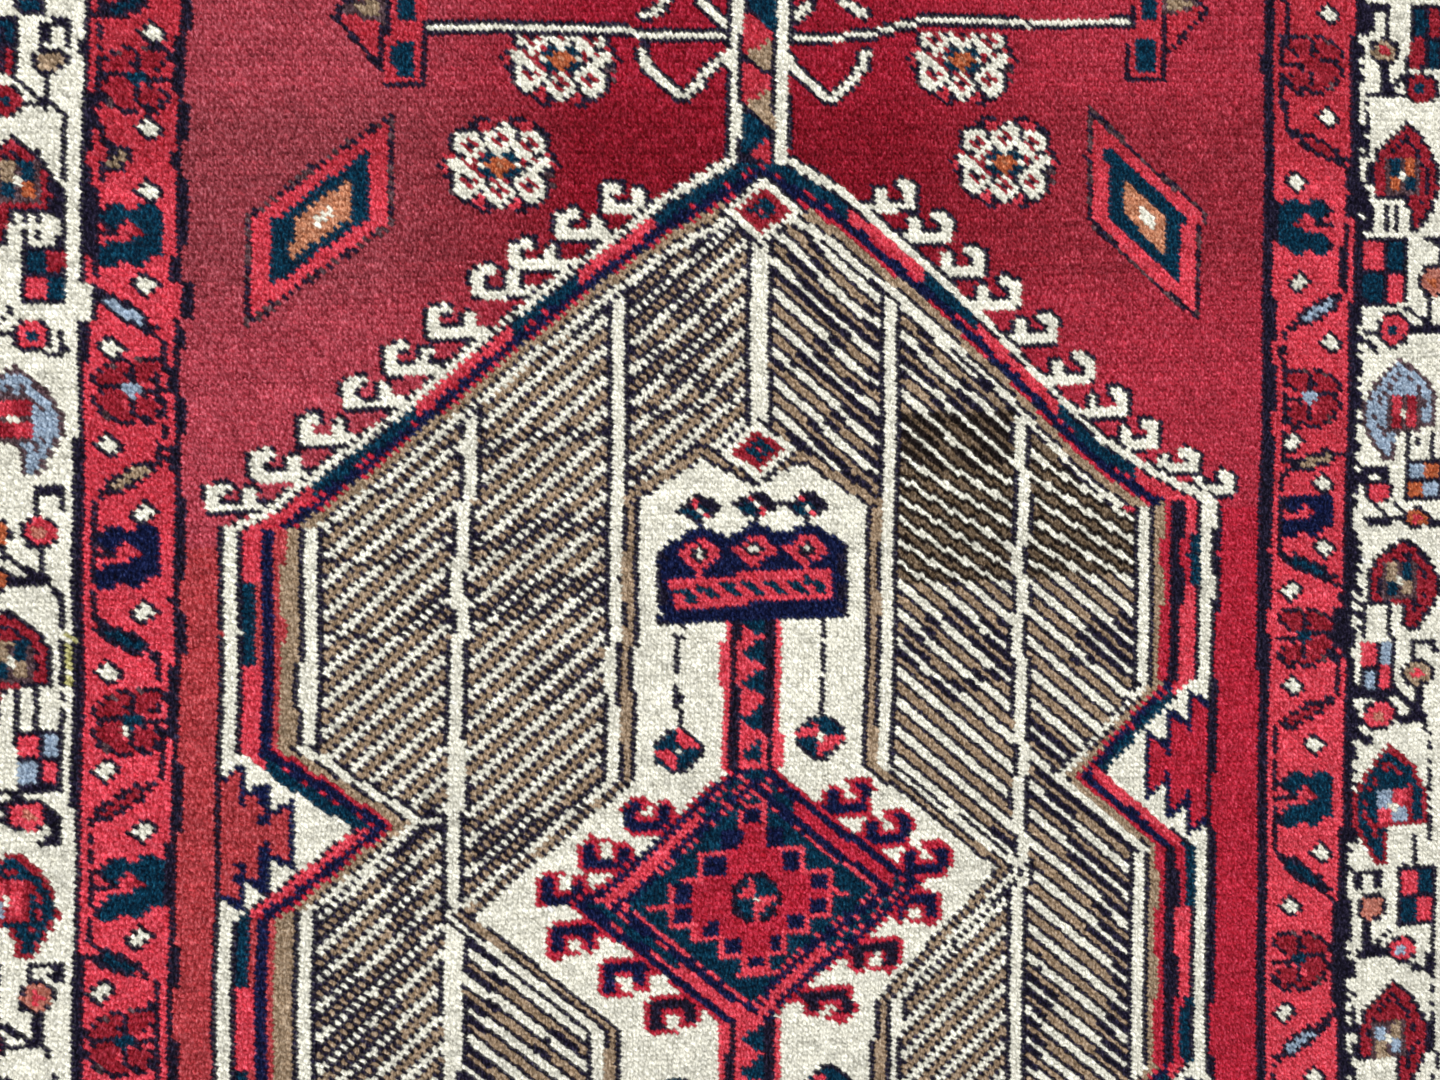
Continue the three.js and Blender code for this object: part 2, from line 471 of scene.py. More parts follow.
# Leaf-shaped figures: what boteh takes, in its order
BOTEHS = [
    (-116.5, 82, 6.8, 21, False, "brick", "ink", ("camel", "teal", "teal", "rust"), 73),
    (-115.3, 38.5, 7, 21, True, "sky", "smoke", ("coral", "brick", "brick", "coral"), 28.5),
    (-117.3, -6.8, 7.4, 22, False, "brick", "ink", ("camel", "teal", "teal", "camel"), -17),
    (-115.5, -53, 7.2, 21, True, "teal", "brick", ("coral", "coral", "sky", "coral"), -62.5),
    (-117.3, -94.8, 7.4, 22, False, "brick", "ink", ("camel", "sky", "sky", "camel"), -105),
    (128.3, 85, 7, 24, True, "brick", "ink", ("teal", "rust", "rust", "teal"), 73),
    (127.6, 34, 7.5, 22, False, "sky", "smoke", ("coral", "brick", "brick", "coral"), 22),
    (129.2, -4.5, 7.6, 21, True, "brick", "ink", ("camel", "teal", "teal", "camel"), -14),
    (127.4, -49.8, 7.4, 25.5, False, "teal", "brick", ("sky", "coral", "coral", "sky"), -63.5),
    (128.6, -100.8, 7.4, 24.5, True, "brick", "ink", ("sky", "camel", "camel", "sky"), -114),
]


# Checkers: left, right, lower and upper edge, and the four wools
CHECKERS = [
    (-121, -116, 92.5, 104, ("teal", "teal", "brick", "brick")),
    (-114.6, -107.6, 49.7, 61, ("teal", "brick", "coral", "teal")),
    (-115.4, -107.9, -41.5, -30.6, ("coral", "sky", "sky", "coral")),
    (-123, -116.8, -90, -74, ("teal", "navy", "brick", "coral")),
    (128.7, 136, 95.5, 110, ("teal", "brick", "brick", "teal")),
    (119.8, 128.9, 45.4, 60, ("coral", "teal", "teal", "coral")),
    (129, 136.6, 3.2, 11.8, ("sky", "rust", "rust", "sky")),
    (120.8, 127.9, -37.8, -26.6, ("coral", "sky", "sky", "coral")),
    (129, 136.6, -90, -77, ("coral", "teal", "teal", "coral")),
]


# Small rounds: column, row, half width, half height, wool and heart
ROUNDELS = [
    (-114.6, 105.9, 1.9, 1.4, "teal", "teal"), (-111, 95.6, 2.2, 1.7, "camel", "camel"),
    (-117.6, 88, 2.2, 2.6, "brick", "teal"), (-113, 44, 2.5, 2.6, "coral", "teal"),
    (-111.8, 7, 2.3, 2.6, "coral", "salmon"), (-118.6, -1.5, 1.6, 1.6, "rust", "rust"),
    (-113.5, -46.5, 2.8, 2.6, "coral", "salmon"), (-111.4, -81.2, 2.3, 2.3, "salmon", "coral"),
    (-118.6, -89.6, 2.0, 2.3, "coral", "coral"), (-118.5, 7, 1.3, 2.4, "rust", "rust"),
    (124, 99.7, 2.4, 2.1, "camel", "coral"), (131.6, 91.8, 2.9, 2.7, "brick", "teal"),
    (126.3, 40.2, 2.7, 3.2, "coral", "teal"), (134.3, 50.3, 2.2, 2.9, "salmon", "rust"),
    (123.8, 5.2, 2.3, 1.9, "coral", "coral"), (131.6, -0.8, 2.2, 1.5, "rust", "coral"),
    (125.2, -43, 2.9, 2.8, "coral", "salmon"), (132.6, -34.6, 2.4, 2.3, "camel", "coral"),
    (124, -84.8, 2.1, 2.5, "salmon", "salmon"), (130.2, -94.7, 2.4, 2.3, "coral", "sky"),
]


def paint_borders():
    for points, width, share in BORDER_STROKES:
        line(points, "ink", width, share)
    for figure in BOTEHS:
        boteh(*figure)
    for frame in CHECKERS:
        checker(*frame)
    for c, r, half_c, half_r, wool, heart in ROUNDELS:
        spot(c, r, half_c, half_r, wool, "ink", 0.8)
        spot(c, r, 1.1, 1.1, heart)
    line([(-107.2, -12), (-107.2, -26)], "stain", 1.0, 0.3)


# The ivory line along the medallion's roof, as column and row
ROOF = [
    (-90, 0), (-82, 6.5), (-77, 9), (-70, 15), (-60, 23.5), (-50, 32.5), (-40, 42.4), (-34, 47.9),
    (-28, 53.0),
    (-20, 60.6), (-10, 69.5), (2, 76.9), (6.3, 80), (10.5, 77), (20, 71), (30, 61.5), (40, 52), (50, 40.7),
    (55, 34.8), (60, 28.8), (65, 23.2), (70, 18.1), (80, 10.9), (85, 7.7), (91, 4.6), (97, 2),
]
# Where the two wools of its checked band change places along the roof
ROOF_CHANGES = [-79, -69, -52, -36, -25, -12, 22, 36, 46, 61, 76, 90]


def drop():
    columns, heights = zip(*ROOF)
    return np.interp(C, columns, heights) - R


# Side of the inner ivory field at each row, from the bottom up
INNER_LEFT = [(-126, -17), (-96.7, -17), (-72, -41.6), (-47, -14.4), (114, -14.4)]
INNER_RIGHT = [(-126, 27.8), (-96.7, 27.8), (-70.5, 50.6), (-47, 26), (114, 26)]
INNER_TOP = [(-60, -26), (-14, 9.7), (-3.5, 16.8), (6, 10.6), (14, 15.6), (25.8, 7), (60, -22)]


def side(table):
    rows, columns = zip(*table)
    return np.interp(R, rows, columns)


def woven_rows():
    """Rows counted as woven: they are beaten tighter in places than on average."""
    on_left = 0.068 * np.clip(R + 18, 0, 48)
    on_right = np.where(C > 30, 0.38 * np.clip(R + 10, 0, 24), 0)
    return R + np.where(C < 6.4, on_left, on_right)


STRIPE_PITCH = 6


def stripes(mask, lean, light):
    """Slanting stripes: ivory, dark, camel and dark, browner in one batch."""
    place = C - lean * woven_rows() - light
    off = np.abs((place + STRIPE_PITCH / 2) % STRIPE_PITCH - STRIPE_PITCH / 2)
    brown = (R < 25) & (R > -10) & (C > 30)
    paint(mask, "ink")
    paint(mask & brown, "umber")
    paint(mask & (off > 2.15), "camel")
    paint(mask & brown & (off > 2.15), "drab")
    paint(mask & (off < np.where(brown, 0.78, 0.93)), "ivory")


def divider(c0, c1, r0, r1, jog=None):
    shift = jogged(jog or [])
    paint((C - shift >= c0 - 0.9) & (C - shift < c1 + 0.9) & (R > r0) & (R < r1), "ink")
    paint((C - shift >= c0) & (C - shift < c1) & (R > r0) & (R < r1), "ivory")


def notch_depth(upper, lower):
    """How far above or below a sideways notch a knot is, measured along its column."""
    above = R - np.interp(C, *zip(*upper))
    below = np.interp(C, *zip(*lower)) - R
    return np.maximum(above, below)


# The stripes start this far below the roof line, and run between these columns
ROOF_BORDER = 11.5
STRIPES_LEFT, STRIPES_RIGHT = -67.4, 76.4


def paint_stripe_field():
    below_roof = drop() > ROOF_BORDER
    inside_sides = (C > STRIPES_LEFT) & (C < STRIPES_RIGHT)
    body = below_roof & inside_sides
    top = R > -72
    for c0, c1, lean, light, rows in [
        (STRIPES_LEFT, -44.3, 1, 3.6, R < FAR), (-44.3, -18, 1, 3.3, top), (-18, 6.4, 1, 0.6, R < FAR),
        (6.4, 30, -1, 5.0, R < FAR), (30, 54.3, -1, 4.0, top), (54.3, STRIPES_RIGHT, -1, 3.4, R < FAR),
        (-44.3, -18, -1, 5.2, ~top), (30, 54.3, 1, 3.5, ~top),
    ]:
        stripes(body & (C >= c0) & (C < c1) & rows, lean, light)
    divider(-45.6, -43.5, -FAR, 31, [(10, 1.2)])
    divider(-19.1, -17.1, -47, 52)
    divider(4.9, 7.7, 10, 63)
    divider(29.1, 31.1, -47, 51)
    divider(53.4, 55.4, -FAR, 26, [(-75, 0.8), (-26, 0.0)])


def paint_inner_field():
    left, right = side(INNER_LEFT), side(INNER_RIGHT)
    columns, heights = zip(*INNER_TOP)
    top = np.interp(C, columns, heights)
    out = np.maximum(left - C, C - right)
    lower = R < 10
    bands(np.where(lower, out, 99), [
        (0, 1.0, "ink", 0), (1.0, 2.3, "camel", 0), (2.3, 3.1, "ink", 0), (3.1, 5.0, "ivory", 0),
        (5.0, 5.9, "ink", 0),
    ])
    above = np.where((C > left - 2) & (C < right + 2) & (R > 4), R - top, 99)
    bands(above, [(0, 0.9, "ink", 0), (0.9, 2.8, "camel", 0), (2.8, 3.6, "ink", 0)])
    paint((out < 0) & (R < top), "ivory")


def paint_roof():
    depth = drop()
    zone = (R > np.where(C < 0, 5.6, 4.4)) | (np.abs(C - 4.5) < 60)
    zone &= (C > -84) & (C < 92) & (depth < 14)
    where = np.where(zone, depth, 99)
    bands(where, [
        (-1.7, -0.9, "ink", 0.2), (-0.9, 0.9, "ivory", 0), (0.9, 1.4, "ink", 0), (1.4, 4.2, "teal", 0),
        (4.2, 6.9, "navy", 0), (4.2, 4.8, "strip", 0.4), (6.9, 7.6, "strip", 0), (7.6, 9.6, "camel", 0),
        (9.6, 10.4, "ink", 0), (10.4, 12.1, "ivory", 0), (12.1, 12.8, "ink", 0),
    ])
    for start, end in list(zip(ROOF_CHANGES, ROOF_CHANGES[1:]))[::2]:
        paint((where > 1.4) & (where < 4.2) & (C > start) & (C < end), "coral")


# Bands down each side: depth in from the outer edge, for the checked band too
LEFT_BANDS = [
    (-0.9, 0, "ink"), (0, 2.1, "ivory"), (2.1, 2.8, "ink"), (2.8, 5.9, "coral"), (5.9, 7.9, "navy"),
    (7.9, 9.2, "madder"), (9.2, 11.5, "camel"), (11.5, 12.5, "ink"), (12.5, 14.7, "ivory"),
    (14.7, 15.7, "ink"),
]
RIGHT_BANDS = [
    (-1.2, 0, "ink"), (0, 2.2, "ivory"), (2.2, 3.2, "ink"), (3.2, 5.9, "coral"), (5.9, 8.6, "ink"),
    (8.6, 9.9, "strip"), (9.9, 11.5, "camel"), (11.5, 12.4, "ink"), (12.4, 14.5, "ivory"),
    (14.5, 15.6, "ink"),
]
NOTCH_BANDS = [
    (0, 0.7, "ink", 0), (0.7, 2.8, "coral", 0), (2.8, 5.3, "navy", 0), (2.8, 3.4, "strip", 0.4),
    (5.3, 6.3, "strip", 0), (6.3, 8.0, "camel", 0), (8.0, 8.7, "ink", 0), (8.7, 10.4, "ivory", 0),
    (10.4, 11.2, "ink", 0),
]


def paint_side(edge, inward, top_row, notches, changes, motif):
    """One side of the medallion: straight bands, and the notches that bite into it."""
    depth = inward * (C - edge)
    straight = R < top_row
    for low, high, wool in motif["bands"]:
        paint(straight & (depth >= low) & (depth < high), wool)
    for low, high in changes:
        rows = straight & (R > low) & (R < high)
        paint(rows & (depth >= 2.8) & (depth < 5.9), motif["ground"])
        paint(rows & (depth >= 2.8) & (depth < 4.8), "teal")
    for shift in notches:
        upper = [(c, r + shift) for c, r in motif["upper"]]
        lower = [(c, r + shift) for c, r in motif["lower"]]
        wedge = notch_depth(upper, lower)
        rows = (R < motif["from"] + shift) & (R > motif["to"] + shift) & (depth > 1.4)
        where = np.where(rows & (depth < 36), wedge, 99)
        bands(where, NOTCH_BANDS)
        middle = (motif["from"] + motif["to"]) / 2 + shift
        paint((where > 0) & (where < 2.8) & (R > middle) & (depth > 7.2), "teal")
        paint((where > 0.7) & (where < 2.8) & (R < middle) & (depth < 5), "teal")
        paint((where < 0) & (depth >= 0), "ivory")
        teeth = [(c, r + shift) for c, r in motif["teeth"]]
        paint(inside(teeth) & (depth >= 0), motif["ground"])
        paint(along(teeth, 1.15) & (depth >= 0), "navy")
        for c, r0, r1 in motif["tails"]:
            paint(along([(c, r0 + shift), (c, r1 + shift)], 1.1), "navy")
        paint((depth > -1.0) & (depth < 0) & (R < motif["from"] + shift), "ink")


LEFT_NOTCH = {
    "bands": LEFT_BANDS, "ground": "madder", "from": -36.3, "to": -69.7,
    "upper": [(-83, -34.3), (-79.6, -37.3), (-76, -40.8), (-70.6, -45.6), (-61.4, -53.3), (-50, -62.9)],
    "lower": [(-83, -71.5), (-79, -67.6), (-75, -64.5), (-70.3, -60.8), (-61.4, -53.3), (-50, -42.9)],
    "teeth": [
        (-83.6, -42.4), (-79.9, -39.2), (-79.9, -45.5), (-76, -43.1), (-76, -49.9), (-71.4, -46.6),
        (-71.4, -59.6), (-75.8, -56.8), (-75.8, -63.6), (-79.8, -60.6), (-79.8, -66.8), (-83.6, -63.7),
    ],
    "tails": [(-79.9, -45, -46.8), (-76, -49, -51), (-75.8, -54.5, -57), (-79.8, -58.8, -61)],
}
RIGHT_NOTCH = {
    "bands": RIGHT_BANDS, "ground": "strip", "from": -33.0, "to": -69.0,
    "upper": [(60, -64.5), (71.4, -51.8), (79, -42.7), (85, -36.3), (89.2, -32), (92, -29.5)],
    "lower": [(60, -40.4), (71.4, -51.8), (79, -59.3), (83, -63.7), (87, -67.3), (92, -72)],
    "teeth": [
        (92, -39.2), (87.9, -36.2), (87.8, -43), (83.6, -39.8), (83.5, -47.6), (79.5, -43.9), (79.5, -58.2),
        (83.7, -54.2), (83.8, -62.4), (87.8, -58.6), (87.9, -66), (92, -62.6),
    ],
    "tails": [(87.8, -42.5, -44.2), (83.5, -47, -48.8), (83.8, -53.4, -55), (87.9, -57.6, -59)],
}


def paint_sides():
    paint_side(-82.8, 1, 6, (0, -84), [(-20, -3.5), (-82, -69), (-115, -99)], LEFT_NOTCH)
    paint_side(91.4, -1, 4.5, (0, -82), [(-13, -2.5), (-82, -68.5), (-115, -101)], RIGHT_NOTCH)


# Field above the roof
def hook(c, r, outward, size, thick, prong_up, wool, edge, edge_width, reach=9.5, lean=1.7):
    """A hook on a sloping edge: a foot, a curled upright at its end and a prong between."""
    foot = [(c - outward * reach, r), (c, r)]
    bend = (c + 0.2 * outward, r + prong_up * 0.8 * size)
    upright = [(c, r), bend, (c - lean * outward, r + prong_up * size)]
    prong = [(c - 5.5 * outward, r), (c - 5.7 * outward, r + prong_up * 0.7 * size)]
    for width, tone in ((thick + 2 * edge_width, edge), (thick, wool)):
        for path in (foot, upright, prong):
            line(path, tone, width)


# Hooks up each slope of the roof: way out, then the column, row and size of each
ROOF_HOOKS = [
    (-1, [
        (-20.6, 67.3, 4.2), (-28, 61.7, 4.2), (-35.4, 55.7, 4.6), (-41.6, 50.6, 4.8), (-49, 42.8, 4.8),
        (-56, 36.2, 4.6), (-62.8, 29.7, 4.6), (-70.3, 22.8, 4.6), (-77.8, 16.4, 4.4), (-84.8, 10.7, 4.0),
    ]),
    (1, [
        (33, 67.3, 4.6), (39.6, 61, 4.6), (46, 53.7, 4.8), (52.6, 47.3, 4.6), (59.6, 39.8, 4.8),
        (66.6, 31.3, 4.6), (73, 23.8, 4.6), (79.4, 17.3, 4.2), (87, 11.6, 3.2), (94, 7, 3.0),
    ]),
]


def paint_roof_hooks():
    for outward, hooks in ROOF_HOOKS:
        for c, r, size in hooks:
            hook(c, r, outward, size, 1.9, 1, "ivory", "ink", 0.7)


def lozenge(c, r, slope, frames):
    """A slanting four-sided figure: frames one in the other, each with its half width and height."""
    across = np.abs(C - c)
    along_side = np.abs(R - r - slope * (C - c))
    half_c, half_r, _ = frames[0]
    rim = (across < half_c + 1) & (along_side < half_r + 1.3)
    paint(rim, "ink")
    paint(broken(rim, 0.5), "smoke")
    for half_c, half_r, wool in frames:
        paint((across < half_c) & (along_side < half_r), wool)


def paint_field_figures():
    lozenge(-68, 65.7, 0.845, [
        (11, 9.8, "coral"), (7.9, 6.6, "teal"), (4.5, 3.8, "tan"), (1.6, 1.1, "ivory"),
    ])
    lozenge(77, 65, -1.01, [
        (10.4, 10.8, "coral"), (7.4, 7.6, "teal"), (4.2, 3.9, "tan"), (1.6, 1.1, "ivory"),
    ])
    for c, r in [(-38.5, 75.5), (50.4, 76)]:
        stamp(FIELD_ROSETTE, c, r)
    for c, r in [(-28.7, 96.3), (42, 97.2)]:
        stamp(FIELD_ROSETTE[4:], c, r - 2)
    # Pole across the top, with its barred ends
    poles = [
        [(-57, 102), (-26, 102.7), (-10, 101.7), (1, 101.3)],
        [(10, 101.5), (20, 102), (27, 103), (35, 105.2), (43, 105.7), (54, 104.9), (79, 105.5)],
    ]
    for pole in poles:
        edged_line(pole, "ivory", 1.0, "ink", 0.9)
    for c, r0, r1 in [(-54.5, 91, 114), (77.3, 92.8, 114)]:
        paint(box(c - 3.7, c + 3.7, r0, r1), "ink")
        paint(box(c - 2.9, c + 2.9, r0 + 0.9, r1), "coral")
        paint(box(c - 1.8, c + 1.5, r0 + 2, r0 + 9), "teal")
        paint(box(c - 1.8, c + 1.5, r0 + 13, r1), "teal")
    for tip, side_of in [((-66.5, 105), -1), ((88.5, 108), 1)]:
        c, r = tip
        inner = c - 8 * side_of
        patch([(c, r), (inner, r - 10), (inner, r + 1), (inner, r + 9)], "coral", "ink", 1.0)
        patch([(c - 1.5 * side_of, r + 1), (inner, r - 1), (inner, r + 4.5)], "camel", "smoke", 0.9)


# Curls beside the stem: points
STEM_CURLS = [
    [(-5, 108.5), (-2, 105.5), (1, 102.5)], [(14.5, 108.5), (12, 105.5), (9.5, 102.5)],
    [(-14.5, 105.3), (-13, 106.2), (-11, 108.5)], [(24.6, 107), (22.5, 107.6), (20.5, 109.3)],
    [(-14.3, 98.6), (-14, 96), (-11, 92.5), (-8.3, 89.8), (-6.8, 89.8), (-1.5, 96), (1, 97.5)],
    [(25, 98.8), (24.4, 95.6), (22, 93), (19, 89.8), (17.8, 89.8), (13.5, 93.6), (10.5, 98)],
]


# Shapes in the stem: outline and wool
STEM_SHAPES = [
    ([(3.6, 112), (8.4, 113), (8.4, 102), (3.6, 107)], "teal"),
    ([(2.9, 106.5), (2.9, 98), (6.5, 98.6), (8.2, 101.5), (5, 105)], "coral"),
    ([(3.8, 97.8), (8.4, 101), (8.4, 94.4), (5, 95.8)], "camel"),
    ([(2.9, 96.6), (2.9, 87.5), (7.6, 90), (8.2, 93), (5.4, 95.2)], "coral"),
    ([(3.6, 87.8), (8.3, 91), (8.3, 83), (5, 86)], "camel"),
    ([(2.9, 86.4), (5.4, 84.4), (8.3, 81.6), (6, 79.4), (2.9, 78)], "teal"),
    ([(4.6, 78.4), (8.3, 81), (8.3, 76.2), (4.8, 76.4)], "coral"),
]


def paint_stem_top():
    for points in STEM_CURLS:
        edged_line(points, "ivory", 1.4, "ink", 0.7)
    for c0, c1 in [(0.6, 2.4), (8.7, 10.7)]:
        paint(box(c0 - 0.9, c1 + 0.8, 76.8, 114), "ink")
        paint(box(c0, c1, 76, 114), "ivory")
    paint(box(2.9, 8.3, 76, 114), "ink")
    for shape, wool in STEM_SHAPES:
        paint(inside(shape), wool)


def paint_spine_diamonds():
    for c, r, half_c, half_r in [(6.5, 66.5, 6.8, 6.4), (6.3, 18, 6.6, 5.8)]:
        paint(diamond(c, r, half_c + 1.2, half_r + 1.2), "ink")
        paint(diamond(c, r, half_c + 0.3, half_r + 0.3), "ivory")
        paint(diamond(c, r, half_c - 1.7, half_r - 1.6), "brick")
        paint(diamond(c, r + 0.2, 2.9, 2.4), "teal")
        spot(c, r, 0.6, 0.6, "coral")


# Inner field
def paint_crown():
    for c in (-3.8, 6, 15.3):
        line([(c, 7), (c, 2)], "ink", 1.1)
        paint(diamond(c, 7.1, 4.6, 3.2), "ink")
        paint(diamond(c - 0.6, 6.6, 2.6, 1.6), "teal")
        spot(c - 0.8, 8.2, 0.8, 0.7, "coral")
        spot(c + 0.9, 5.7, 0.8, 0.7, "coral")
        spot(c, 6.9, 0.5, 0.5, "ivory")
        paint(diamond(c, 0, 6.6, 3.8), "navy")
    paint(box(-9.5, 21, -2, 0.9), "navy")
    paint(box(-10.8, 22.6, -15.8, -0.8), "navy")
    paint(broken(box(-11, -9.6, -16, -1) | box(20.8, 22.6, -16, -1), 0.4), "ink")
    for c in (-3.6, 6, 15.2):
        paint(diamond(c, -2, 4.4, 3.2), "coral")
        paint(diamond(c, -2, 2.0, 2.0), "ink")
        spot(c, -1.9, 0.8, 0.7, "ivory")
        line([(c, -5), (c, -6.5)], "coral", 0.8)
    patch([(-8.6, -7.2), (19.8, -5.9), (19.8, -12.4), (-8.6, -13)], "coral")
    for k, c in enumerate((-5.6, -1.9, 2.2, 5.9, 9.8, 13.6, 17.3)):
        rise = 0.15 * k
        upper = [(c - 1.6, -9 + rise), (c - 0.2, -9.4 + rise)]
        lower = [(c, -10.8 + rise), (c + 1.3, -11 + rise)]
        line(upper + lower, "teal", 1.3)


def paint_bobs():
    for c, top, r, turn in [
        (-7, -15.8, -41.4, 1), (18.2, -15.8, -40.3, -1), (-7, None, -112, 1), (19.8, None, -112.6, -1),
    ]:
        if top is not None:
            line([(c, top), (c, r + 4)], "ink", 1.1, 0.05)
        paint(diamond(c, r, 6.2, 5.8) & oval(c, r, 4.7, 4.6), "ink")
        paint(diamond(c, r, 5.4, 5.0) & oval(c, r, 4.1, 4.0), "teal")
        quarter = ((C - c) * (R - r) * turn > 0) & diamond(c, r, 4.6, 4.2) & (np.hypot(C - c, R - r) > 1)
        paint(quarter, "coral")
        spot(c, r, 0.7, 0.7, "ivory")


def paint_stem(top, bottom):
    rows = (R < top) & (R > bottom)
    for c0, c1, wool in [
        (0.6, 1.8, "coral"), (1.8, 3.6, "ink"), (3.6, 7.6, "coral"), (7.6, 8.3, "coral"), (8.3, 10, "ink"),
        (10, 11.3, "coral"),
    ]:
        paint(rows & (C >= c0) & (C < c1), wool)
    for r in (-17, -22.5, -28.5, -36, -43, -101.5, -108, -116, -124):
        shape = [(7.9, r + 2.6), (4.2, r + 0.4), (5.2, r - 1.6), (7.9, r - 2.4)]
        paint(inside(shape) & rows, "teal")


# Lower diamond of the inner field: the middle line of its thick frame, above and below
DIAMOND_TOP = [
    (-33, -84), (-23, -73.5), (-20, -72), (-15, -67.6), (-10, -62.6), (-5, -57.1), (0, -52.5),
    (6.5, -47), (10, -51),
    (15, -56.1), (20, -60.7), (25, -65), (30, -70), (45, -84),
]
DIAMOND_BOTTOM = [
    (-33, -60.5), (-23, -70.5), (-20, -73), (-15, -77.4), (-10, -81.6), (-5, -87), (0, -92.7),
    (6.6, -98.6), (10, -93.6),
    (15, -88), (20, -83.5), (25, -79.4), (30, -75.3), (45, -60),
]


# Hooks round the diamond: column, row, way out, way up, size and wool
DIAMOND_HOOKS = [
    (-14.7, -56.1, -1, 1, 4.1, "navy"), (-22.2, -63.9, -1, 1, 4.3, "navy"),
    (-29.6, -70.2, -1, 1, 4.0, "navy"),
    (-27.8, -76.8, -1, -1, 3.8, "navy"), (-18.9, -84.7, -1, -1, 4.5, "navy"),
    (-10.7, -92.8, -1, -1, 4.4, "ink"),
    (26.2, -55.5, 1, 1, 4.8, "navy"), (33.3, -62.7, 1, 1, 4.4, "navy"), (40.3, -69.3, 1, 1, 4.0, "navy"),
    (38.5, -75.9, 1, -1, 3.7, "navy"), (31.2, -84.4, 1, -1, 4.3, "ink"), (22.7, -93.4, 1, -1, 4.2, "ink"),
]


def paint_diamond():
    for c, r, outward, up, size, wool in DIAMOND_HOOKS:
        hook(c, r, outward, size, 1.9, up, wool, "strip", 0.9, 11, 0.5)
        curl = [(c, r + up * (size + 0.9)), (c - 3.3 * outward, r + up * (size + 0.7))]
        line(curl, "strip", 1.1)
    top = np.interp(C, *zip(*DIAMOND_TOP)) - R
    bottom = R - np.interp(C, *zip(*DIAMOND_BOTTOM))
    depth = np.minimum(top, bottom)
    coral = (top < bottom) & ((C > -19) & (C < -3.5) | (C > 14) & (C < 31.5))
    coral |= (top >= bottom) & (C > -7) & (C < 19)
    paint(depth > -4.5, "strip")
    paint(depth > -3.6, "navy")
    paint(depth > -1.6, "coral")
    paint((depth > -1.6) & (top < bottom) & (C > 10), "strip")
    paint((np.abs(depth) < 0.9) & ~coral, "teal")
    speckle = (np.abs(depth) >= 0.9) & (np.abs(depth) < 1.6) & ~coral
    paint(speckle & ~broken(speckle, 0.3), "navy")
    paint(depth > 1.6, "navy")
    paint(broken(depth > 3.4, 0.2), "coral")
    paint(depth > 4.3, "teal")


# Steps of the cross in it: left and right edge, and the row where each gives way to the next
CROSS_STEPS = [
    (4.3, 9.1, -58.3), (0.3, 12.2, -62.6), (-3.3, 15.5, -67.9), (-8.7, 20.2, -77.2), (-4.2, 16, -80.7),
    (0.3, 12.8, -84.9), (4.4, 9.2, -88),
]
CROSS_SQUARES = [
    (6.7, -56.5, 1.5, 1.4), (2.9, -60.6, 1.7, 1.6), (10.2, -60.6, 1.5, 1.8), (-0.4, -65.4, 1.7, 2.2),
    (13.1, -65.6, 1.5, 1.9), (-5.9, -70.5, 1.7, 1.6), (17.8, -70.1, 1.4, 1.6), (-5.9, -74.9, 1.7, 1.5),
    (17.6, -74.7, 1.6, 1.5), (-1.4, -78.5, 1.6, 1.4), (14.2, -78.5, 1.4, 1.4), (2.9, -82.7, 1.6, 1.6),
    (10.3, -82.5, 1.4, 1.6), (6.8, -86.2, 1.5, 1.1),
]


def cross_steps():
    steps = np.zeros(C.shape, dtype=bool)
    top = -54
    for c0, c1, low in CROSS_STEPS:
        steps |= box(c0, c1, low, top)
        top = low
    return steps


def inner_knots(mask):
    """The knots of a mask that have all their neighbours in it too."""
    shifted = [np.roll(mask, (row, column), (0, 1)) for row in (-1, 0, 1) for column in (-1, 0, 1)]
    return np.all(shifted, axis=0)


def paint_cross():
    steps = cross_steps()
    paint(steps, "coral")
    paint(inner_knots(steps), "strip")
    for c, r, half_c, half_r in CROSS_SQUARES:
        paint(box(c - half_c, c + half_c, r - half_r, r + half_r), "navy")
    for points in [[(-12.4, -72.6), (-8, -72.6)], [(20, -72.4), (24, -72.4)], [(3.6, -88.2), (9.6, -88.2)]]:
        line(points, "coral", 1.0)
    paint(oval(6.7, -72.9, 4.4, 5.3), "ink")
    paint(oval(6.9, -72.9, 3.5, 4.4), "teal")
    turned = (C - 6.7) * (R + 73) < 0
    paint(turned & diamond(6.7, -73, 3.7, 4.8), "coral")
    spot(6.8, -73.2, 0.8, 0.8, "ivory")


def paint_all():
    paint_grounds()
    paint_guards()
    paint_borders()
    paint_field_figures()
    paint_stripe_field()
    paint_inner_field()
    paint_roof_hooks()
    paint_roof()
    paint_sides()
    paint_stem_top()
    paint_spine_diamonds()
    paint_bobs()
    paint_crown()
    paint_diamond()
    paint_cross()
    paint_stem(-15.8, -46.4)
    paint_stem(-97.5, -FAR)


